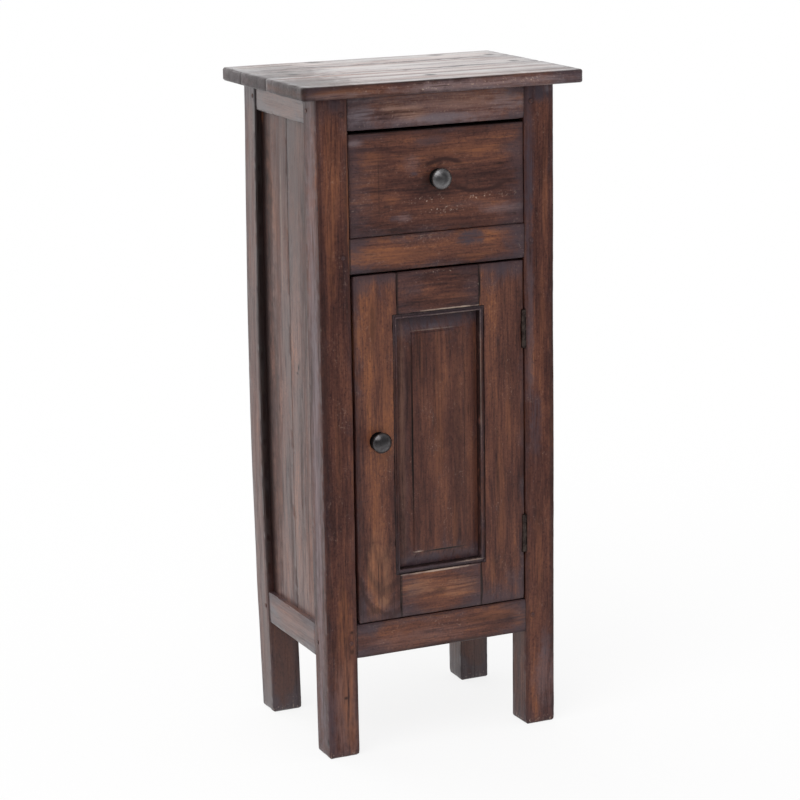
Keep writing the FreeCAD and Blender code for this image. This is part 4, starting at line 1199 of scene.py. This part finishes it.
class TABLE_OT_door(bpy.types.Operator):
    """Builds the door's stiles and rails"""
    bl_idname = "table.door"
    bl_label = "Door frame"

    marks = {
        "door_stile_left": seen_along("Y", [
            ("glow", -100, 590, 12, 50, 0.5), ("glow", -86, 460, 14, 110, 0.45),
            ("glow", -100, 330, 9, 80, 0.45), ("shade", -100, 580, 5, 40, 0.5),
            ("smudge", -112, 636, 16, 16, 0.6), ("smudge", -113, 214, 16, 18, 0.6),
            ("glow", -100, 250, 14, 40, 0.5), ("arc under", -82, 310, 52, 121, 0.65),
            ("arc under", -79, 316, 41, 108, 0.4), ("arc under", -86, 305, 31, 80, 0.6),
            ("shade", -126, 216, 9, 26, 0.6), ("shade", -116, 196, 22, 9, 0.5),
            ("arc under", -92, 322, 15, 58, 0.4), ("pale", -96, 250, 22, 70, 0.3),
            ("pale", -92, 208, 12, 10, 0.3)]),
        "door_stile_right": seen_along("Y", [
            ("glow", 84, 330, 9, 120, 0.35), ("glow", 97, 460, 6, 110, 0.3),
            ("smudge", 88, 640, 16, 14, 0.7), ("shade", 80, 355, 3, 24, 0.8),
            ("smudge", 100, 212, 14, 18, 0.5), ("glow", 72, 226, 6, 30, 0.5)]),
        "door_rail_top": seen_along("Y", [
            ("smudge", -38, 625, 16, 10, 0.6), ("flecks", 0, 647, 46, 2.5, 1.0),
            # The bare line at 596.3 along the outer arris of the moulding's room is a painted highlight, with
            # wear
            ("glow", 20, 610, 30, 9, 0.2), ("bare", 12, 596.3, 54, 1.4, 0.7)]),
        "door_rail_bottom": seen_along("Y", [
            # The bare line at 241 along the outer arris of the moulding's room is a painted highlight, with
            # wear
            ("bare", -6, 241, 64, 1.5, 0.8), ("pale", -40, 222, 34, 15, 0.4),
            ("pale", 20, 213, 32, 16, 0.4), ("shade", -6, 212, 12, 6, 0.5)]),
    }

    # Tone and coolness
    looks = {"door_stile_left": (0.12, 0.9), "door_stile_right": (0.06, 0.9),
             "door_rail_top": (-0.13, 0.5), "door_rail_bottom": (0.12, 0.9)}
    joints = (212, 622)  # heights in mm of the middles of the joints between stiles and rails

    def execute(self, context):
        wood = context.scene.table_wood
        sight_low, sight_high = door_outline()
        rim = Vector((wood.moulding_width, 0, wood.moulding_width))
        depth = Vector((0, wood.panel_depth, 0))

        def moulding_room():
            return add_block("room_cutter", sight_low - rim - Vector((0, MM, 0)), sight_high + rim + depth)
        for node, patches in self.marks.items():
            low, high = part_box(node)
            stile = "stile" in node
            if not stile:
                low.x, high.x = sight_low.x, sight_high.x

            def outer(first, last):
                middle = (first + last) / 2
                on_side = min(abs(middle.x - sight_low.x), abs(middle.x - sight_high.x)) < HAIR
                on_end = min(abs(middle.z - sight_low.z), abs(middle.z - sight_high.z)) < HAIR
                return not on_side and not on_end
            hollows = [moulding_room]
            if node == "door_stile_right":
                hollows += hinge_hollows("door")
            stain_low, stain_high = low.copy(), high.copy()
            seams = []
            if stile:
                inner = stain_high if node == "door_stile_left" else stain_low
                seam_x = inner.x / MM
                seams = [("line", (seam_x, None, middle), (2.0, None, 34), 1.0) for middle in self.joints]
                inner.x = 0.0
            tone, cool = self.looks[node]
            look = Finish("Z" if stile else "X", tone, cool, joined=0.0 if stile else 1.0,
                          depth=FRAME_PATCH_DEPTH, box=(stain_low, stain_high), patches=[*patches, *seams])
            aged_block(node, "door", look, low, high, keep=outer, hollows=hollows, wear=0.8)
        return {"FINISHED"}


class TABLE_OT_moulding(bpy.types.Operator):
    """Builds the moulding round the door's panel: a sunk flat with round corners, then a bead"""
    bl_idname = "table.moulding"
    bl_label = "Door moulding"

    wall = 0.6 * MM  # what is left of the moulding's depth behind its bead
    bead_arris = 0.45 * MM
    inwards = 0.3 * MM

    def execute(self, context):
        wood = context.scene.table_wood
        colours = context.scene.table_finish
        sight = door_outline()
        rim = Vector((wood.moulding_width, 0, wood.moulding_width))
        low = sight[0] - rim
        high = sight[1] + rim + Vector((0, wood.panel_depth - HAIR, 0))
        bead_start = wood.moulding_lip + wood.flat_width
        crest = wood.moulding_width - bead_start - wood.bead_chamfer
        piece = add_block("aged_door_moulding", low, high)
        pick(piece, "FACE", lambda face: face.normal.y < -0.9)
        bpy.ops.mesh.inset(thickness=wood.moulding_lip)
        bpy.ops.mesh.select_mode(type="VERT")
        bpy.ops.mesh.bevel(offset=wood.moulding_corner, segments=6, affect="VERTICES")
        set_mode("OBJECT")
        field = max(piece.data.polygons, key=lambda face: len(face.vertices)).index
        pick(piece, "FACE", lambda face: face.index == field)
        push_face((0, wood.moulding_sink, 0))
        bpy.ops.mesh.inset(thickness=wood.flat_width)
        push_face((0, -wood.moulding_sink, 0))
        bpy.ops.mesh.inset(thickness=crest)
        bpy.ops.mesh.inset(thickness=wood.bead_chamfer, depth=-wood.bead_chamfer)
        push_face((0, wood.panel_depth - wood.bead_chamfer - self.wall, 0))
        bpy.ops.mesh.delete(type="ONLY_FACE")
        pick(piece, "FACE", lambda face: face.normal.y > 0.9 and face.center.y > high.y - HAIR)
        bpy.ops.mesh.inset(thickness=wood.moulding_width)
        bpy.ops.mesh.delete(type="ONLY_FACE")
        bpy.ops.mesh.select_mode(type="EDGE")
        bpy.ops.mesh.select_all(action="DESELECT")
        bpy.ops.mesh.select_non_manifold()
        bpy.ops.mesh.bridge_edge_loops()
        face_outwards()

        def on_bead(first, last):
            inside = min(first.x - low.x, high.x - first.x, first.z - low.z, high.z - first.z)
            near_face = max(first.y, last.y) < low.y + 2 * MM
            return inside > bead_start - self.inwards and near_face
        round_arrises(piece, self.bead_arris, on_bead, segments=2)
        # Dark lines in the quirk, at the bead's foot and along the sight edge: painted shade, with thick
        # stain
        lines = [
            (sight, wood.moulding_width - self.inwards, 0.9 * MM, 0.9, colours.dirt),
            (sight, wood.moulding_width - bead_start, 0.6 * MM, 0.4, colours.dirt),
            (sight, 0.0, 0.8 * MM, 0.9, colours.shade),
        ]
        # Pale lines along the bead's crests: painted highlight, with wear
        crests = [("bare", (sight[1].x / MM + 1.0, None, 500), (1.0, None, 120), 0.22),
                  ("bare", (20, None, sight[1].z / MM + 1.0), (50, None, 1.1), 0.3),
                  ("bare", (40, None, sight[0].z / MM - 1.0), (30, None, 1.1), 0.35)]
        look = Finish("Z", tone=-0.06, worn=0.0, patches=crests, lines=lines)
        material = teak("teak moulding", low, high, look)
        finish_wood(piece, [], "door", material, wear=0.3)
        return {"FINISHED"}


class TABLE_OT_panel(bpy.types.Operator):
    """Builds the door's raised panel: a tongue, wide bevels, a small shoulder and the field"""
    bl_idname = "table.panel"
    bl_label = "Door panel"

    shoulder_slope = (0.99, 1, 0.998)  # how much smaller the field is than the foot of its shoulder
    field_arris = 0.5 * MM

    # The line at x -43.2 along the field's left shoulder and the shade at x 50 by the right wall are painted
    # shade, with thick stain; the bare line at z 569.5 along the field's top is a painted highlight, with
    # wear
    marks = seen_along("Y", [
        ("glow", -32, 530, 7, 60, 0.3), ("glow", -5, 447, 9, 120, 0.4), ("glow", 16, 310, 8, 50, 0.3),
        ("shade", 22, 420, 8, 220, 0.3), ("smudge", -5, 580, 90, 15, 1.0), ("smudge", -5, 258, 80, 8, 0.8),
        ("haze", -14, 573, 40, 5, 0.12), ("smudge", -54, 420, 8, 240, 0.35),
        ("pale", -56, 430, 5, 200, 0.25), ("shade", 50, 420, 5, 260, 0.5),
        ("line", -43.2, 420, 1.3, 170, 1.0), ("line", 33.5, 420, 0.9, 170, 0.4),
        ("line", 2, 268.3, 40, 1.7, 1.0), ("bare", -36, 269.5, 9, 1.8, 0.8),
        ("bare", -14, 569.5, 36, 1.2, 0.22), ("line", -14, 566.5, 44, 1.2, 0.5)])

    def execute(self, context):
        wood = context.scene.table_wood
        colours = context.scene.table_finish
        low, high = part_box("door_panel")
        sight_low, sight_high = door_outline()
        low.y = sight_low.y + wood.panel_depth
        middle = (sight_low + sight_high) / 2
        piece = add_block("aged_door_panel", low, high)
        pick(piece, "FACE", lambda face: face.normal.y < -0.9)
        bpy.ops.mesh.inset(thickness=sight_low.x - low.x)
        width, height = sight_high.x - sight_low.x, sight_high.z - sight_low.z
        rise = wood.panel_depth - wood.panel_face - wood.panel_shoulder
        bevels = (1 - 2 * wood.bevel_side / width, 1, 1 - 2 * wood.bevel_end / height)
        push_face((0, -rise, 0), bevels, middle)
        push_face((0, -wood.panel_shoulder, 0), self.shoulder_slope, middle)
        set_mode("OBJECT")

        def field_rim(first, last):
            return max(first.y, last.y) < sight_low.y + wood.panel_face + HAIR
        round_arrises(piece, self.field_arris, field_rim, segments=2)
        # A dark line where the panel meets the moulding: painted shade, with dirt
        lines = [((sight_low, sight_high), 0.0, 1.5 * MM, 0.9, colours.dirt)]
        look = Finish("Z", contrast=0.8, worn=0.0, depth=MM, lines=lines, patches=self.marks)
        finish_wood(piece, ["door_panel"], "door", teak("teak panel", low, high, look), wear=0.25)
        return {"FINISHED"}


def curve_points(first, last, hollow, steps):
    """Points of a curve from first to last, which is hollow by a share of its length."""
    points = []
    reach, out = last[0] - first[0], last[1] - first[1]
    for index in range(1, steps + 1):
        share = index / steps
        dip = hollow * math.sin(math.pi * share)
        points.append((first[0] + reach * share - out * dip, first[1] + out * share + reach * dip))
    return points


class TABLE_OT_knobs(bpy.types.Operator):
    """Builds the two cast knobs"""
    bl_idname = "table.knobs"
    bl_label = "Knobs"

    # Points of a knob's outline, as shares of its radius and of how far it stands out of the wood
    foot = [(0.88, 0.015), (0.893, 0.03), (0.893, 0.07)]
    neck = (0.393, 0.333)
    under = (0.91, 0.524)
    rim = [(0.975, 0.54), (1.0, 0.57), (0.995, 0.61)]
    dome_angle = math.radians(56.4)
    dome_radius = 1.2
    dome_rise = 0.8
    dome_steps = 9
    tip = 0.04
    facets = 48
    smooth_foot = 0.3  # the share of its projection below which a knob has no dents
    dent_size = 11 * MM
    clean_depth = 9 * MM  # how far behind the top of a knob the painted shade starts

    def execute(self, context):
        colours = context.scene.table_finish
        # The knobs get painted shade from a depth behind their top to the wood
        cast = {"metallic": 0.9, "bumps": 0.15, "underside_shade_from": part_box("door_knob")[0].y + self.clean_depth}
        light = metal("light pewter", colours.pewter, colours.pewter_dark, 0.2, **cast)
        dark = metal("dark pewter", colours.pewter_dark, colours.pewter_black, 0.14, **cast)
        self.turn_knob("drawer_knob", "drawer", 0.35 * MM, light)
        self.turn_knob("door_knob", "door", 0.9 * MM, dark)
        return {"FINISHED"}

    def outline(self):
        """The outline of a knob from the wood to the middle of its domed top."""
        points = [*self.foot, *curve_points(self.foot[-1], self.neck, hollow=0.15, steps=5),
                  *curve_points(self.neck, self.under, hollow=0.1, steps=6), *self.rim]
        for index in range(self.dome_steps + 1):
            turn = self.dome_angle * (1 - index / self.dome_steps)
            across = max(self.tip, self.dome_radius * math.sin(turn))
            points.append((across, 1 - self.dome_rise * (1 - math.cos(turn))))
        return points

    def turn_knob(self, node, body, dents, pewter):
        """One knob, grown from a disc on the wood step by step to its domed top."""
        low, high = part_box(node)
        middle = (low + high) / 2
        radius, projection = (high.x - low.x) / 2, high.y - low.y
        outline = self.outline()
        last_share, last_out = outline[0][0], 0.0
        clear_selection()
        bpy.ops.mesh.primitive_circle_add(vertices=self.facets, radius=radius * last_share, fill_type="NGON",
                                          location=(middle.x, high.y, middle.z), rotation=(math.pi / 2, 0, 0))
        apply_place()
        piece = bpy.context.object
        piece.name = "aged_" + node
        set_mode("EDIT")
        bpy.ops.mesh.select_all(action="SELECT")
        for share, out in outline:
            scale = share / last_share
            push_face((0, (last_out - out) * projection, 0), (scale, 1, scale), (middle.x, 0, middle.z))
            last_share, last_out = share, out
        face_outwards()
        head = piece.vertex_groups.new(name="head")
        proud_of = high.y - projection * self.smooth_foot
        head.add([point.index for point in piece.data.vertices if point.co.y < proud_of], 1.0, "REPLACE")
        apply_modifier(piece, "DISPLACE", texture=cloud_texture("dents", self.dent_size),
                       texture_coords="LOCAL", direction="NORMAL", mid_level=0.9, strength=dents,
                       vertex_group="head")
        piece.vertex_groups.clear()
        dress(piece, [node], body, pewter, angle=50)


class TABLE_OT_fittings(bpy.types.Operator):
    """Finishes the pieces that keep their own shape: inner wood, hinges, screws and the catch"""
    bl_idname = "table.fittings"
    bl_label = "Fittings"

    def execute(self, context):
        colours = context.scene.table_finish
        steel = metal("stained steel", colours.steel, colours.shade, 0.4, 0.6)
        plastic = metal("catch plastic", colours.plastic, colours.plastic_dark, 0.45, 0.0)
        for name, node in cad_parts.items():
            node.data.materials.clear()
            if "hinge" in name or "screw" in name or "nail" in name or name == "catch_plate":
                node.data.materials.append(steel)
            elif name == "door_catch":
                node.data.materials.append(plastic)
            else:
                low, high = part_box(name)
                look = Finish("XYZ"[longest_axis(low, high)], tone=0.12, worn=0.5)
                node.data.materials.append(teak("teak " + name, low, high, look))
        return {"FINISHED"}


def add_sun(name, strength, tilt, turn, spread):
    """A soft light from far away; its angles are in degrees."""
    bpy.ops.object.light_add(type="SUN", rotation=(math.radians(tilt), 0, math.radians(turn)))
    sun = bpy.context.object
    sun.name = name
    sun.data.energy = strength
    sun.data.angle = math.radians(spread)


class TABLE_OT_stage(bpy.types.Operator):
    """Sets up the pale floor, the soft light and the camera"""
    bl_idname = "table.stage"
    bl_label = "Stage"

    def execute(self, context):
        stage = context.scene.table_stage
        clear_selection()
        bpy.ops.mesh.primitive_plane_add(size=stage.floor_size)
        floor = context.object
        floor.name = "pale_floor"
        floor.data.materials.append(floor_material(stage.floor_glow, stage.dark_side))
        clear_selection()
        add_sun("key_light", stage.key_light, tilt=38, turn=-50, spread=50)
        add_sun("back_light", stage.back_light, tilt=68, turn=190, spread=80)
        bpy.ops.object.camera_add()
        camera = context.object
        camera.name = "photo_camera"
        camera.data.lens = stage.camera_lens
        camera.data.clip_end = 200.0
        turn = (Matrix.Rotation(-stage.camera_yaw, 4, "Z")
                @ Matrix.Rotation(math.pi / 2 - stage.camera_tilt, 4, "X")
                @ Matrix.Rotation(stage.camera_roll, 4, "Z"))
        camera.matrix_world = Matrix.Translation(stage.camera_place) @ turn
        context.scene.camera = camera
        light_the_world(context.scene, stage.world_light, stage.dark_side)
        context.scene.view_settings.view_transform = "Standard"
        return {"FINISHED"}


# Where what a reflection sees starts and stops growing light, from front to back
FLOOR_FADE = (-1.6, 0.2)
WORLD_FADE = (-0.7, 0.3)
FLOOR_WHITE = (0.97, 0.97, 0.97, 1)


def ray_masks(owner):
    """Empties the tree of a material or a world: the tree, and masks of camera rays and reflected rays."""
    owner.use_nodes = True
    tree = owner.node_tree
    tree.nodes.clear()
    path = put(tree, "ShaderNodeLightPath").outputs
    through = calc(tree, "MAXIMUM", path["Is Glossy Ray"], path["Is Transmission Ray"])
    return tree, path["Is Camera Ray"], through


def lighter_behind(tree, place, fade, dark_side):
    """A strength that grows from the dark side in front of the table to 1 behind it."""
    return calc(tree, "ADD", step(tree, split(tree, place)[1], *fade, 1.0 - dark_side), dark_side)


def floor_material(glow_share, dark_side):
    """A white floor that keeps the soft shadow of the table."""
    material = bpy.data.materials.new("pale floor")
    tree, camera, through = ray_masks(material)
    place = put(tree, "ShaderNodeTexCoord").outputs["Object"]
    reflected = times(tree, through, lighter_behind(tree, place, FLOOR_FADE, dark_side))
    share = times(tree, calc(tree, "MAXIMUM", camera, through), glow_share)
    diffuse = put(tree, "ShaderNodeBsdfDiffuse", {"Color": FLOOR_WHITE})
    glow = put(tree, "ShaderNodeEmission", {"Strength": calc(tree, "MAXIMUM", camera, reflected)})
    blend = put(tree, "ShaderNodeMixShader", {0: share, 1: diffuse.outputs[0], 2: glow.outputs[0]})
    put(tree, "ShaderNodeOutputMaterial", {"Surface": blend.outputs[0]})
    return material


def light_the_world(scene, strength, dark_side):
    """White where the camera sees it, less as light, and darker in front where a reflection sees it."""
    scene.world = bpy.data.worlds.new("studio")
    tree, camera, through = ray_masks(scene.world)
    direction = put(tree, "ShaderNodeTexCoord").outputs["Generated"]
    room = lighter_behind(tree, direction, WORLD_FADE, dark_side)
    lit = put(tree, "ShaderNodeMix", {0: through, 2: strength, 3: room}).outputs[0]
    level = put(tree, "ShaderNodeMix", {0: camera, 2: lit, 3: 1.0}).outputs[0]
    back = put(tree, "ShaderNodeBackground", {"Strength": level})
    put(tree, "ShaderNodeOutputWorld", {"Surface": back.outputs[0]})


class TABLE_PT_pieces(bpy.types.Panel):
    """Lists the operators that dress the table"""
    bl_idname = "TABLE_PT_pieces"
    bl_label = "Telephone table"
    bl_space_type = "VIEW_3D"
    bl_region_type = "UI"
    bl_category = "Table"

    def draw(self, context):
        for operator in OPERATORS:
            self.layout.operator(operator.bl_idname)


OPERATORS = (TABLE_OT_stage, TABLE_OT_top, TABLE_OT_posts, TABLE_OT_pegs, TABLE_OT_rails, TABLE_OT_panels,
             TABLE_OT_drawer, TABLE_OT_door, TABLE_OT_moulding, TABLE_OT_panel, TABLE_OT_knobs,
             TABLE_OT_fittings)
GROUPS = {"table_wood": TableWood, "table_finish": TableFinish, "table_stage": TableStage}


def register():
    for name, group in GROUPS.items():
        bpy.utils.register_class(group)
        setattr(bpy.types.Scene, name, bpy.props.PointerProperty(type=group))
    for cls in (*OPERATORS, TABLE_PT_pieces):
        bpy.utils.register_class(cls)


def unregister():
    for cls in reversed((*OPERATORS, TABLE_PT_pieces)):
        bpy.utils.unregister_class(cls)
    for name, group in GROUPS.items():
        delattr(bpy.types.Scene, name)
        bpy.utils.unregister_class(group)


def main():
    register()
    bpy.ops.table.stage()
    bpy.ops.table.top()
    bpy.ops.table.posts()
    bpy.ops.table.pegs()
    bpy.ops.table.rails()
    bpy.ops.table.panels()
    bpy.ops.table.drawer()
    bpy.ops.table.door()
    bpy.ops.table.moulding()
    bpy.ops.table.panel()
    bpy.ops.table.knobs()
    bpy.ops.table.fittings()


if __name__ == "__main__":
    main()
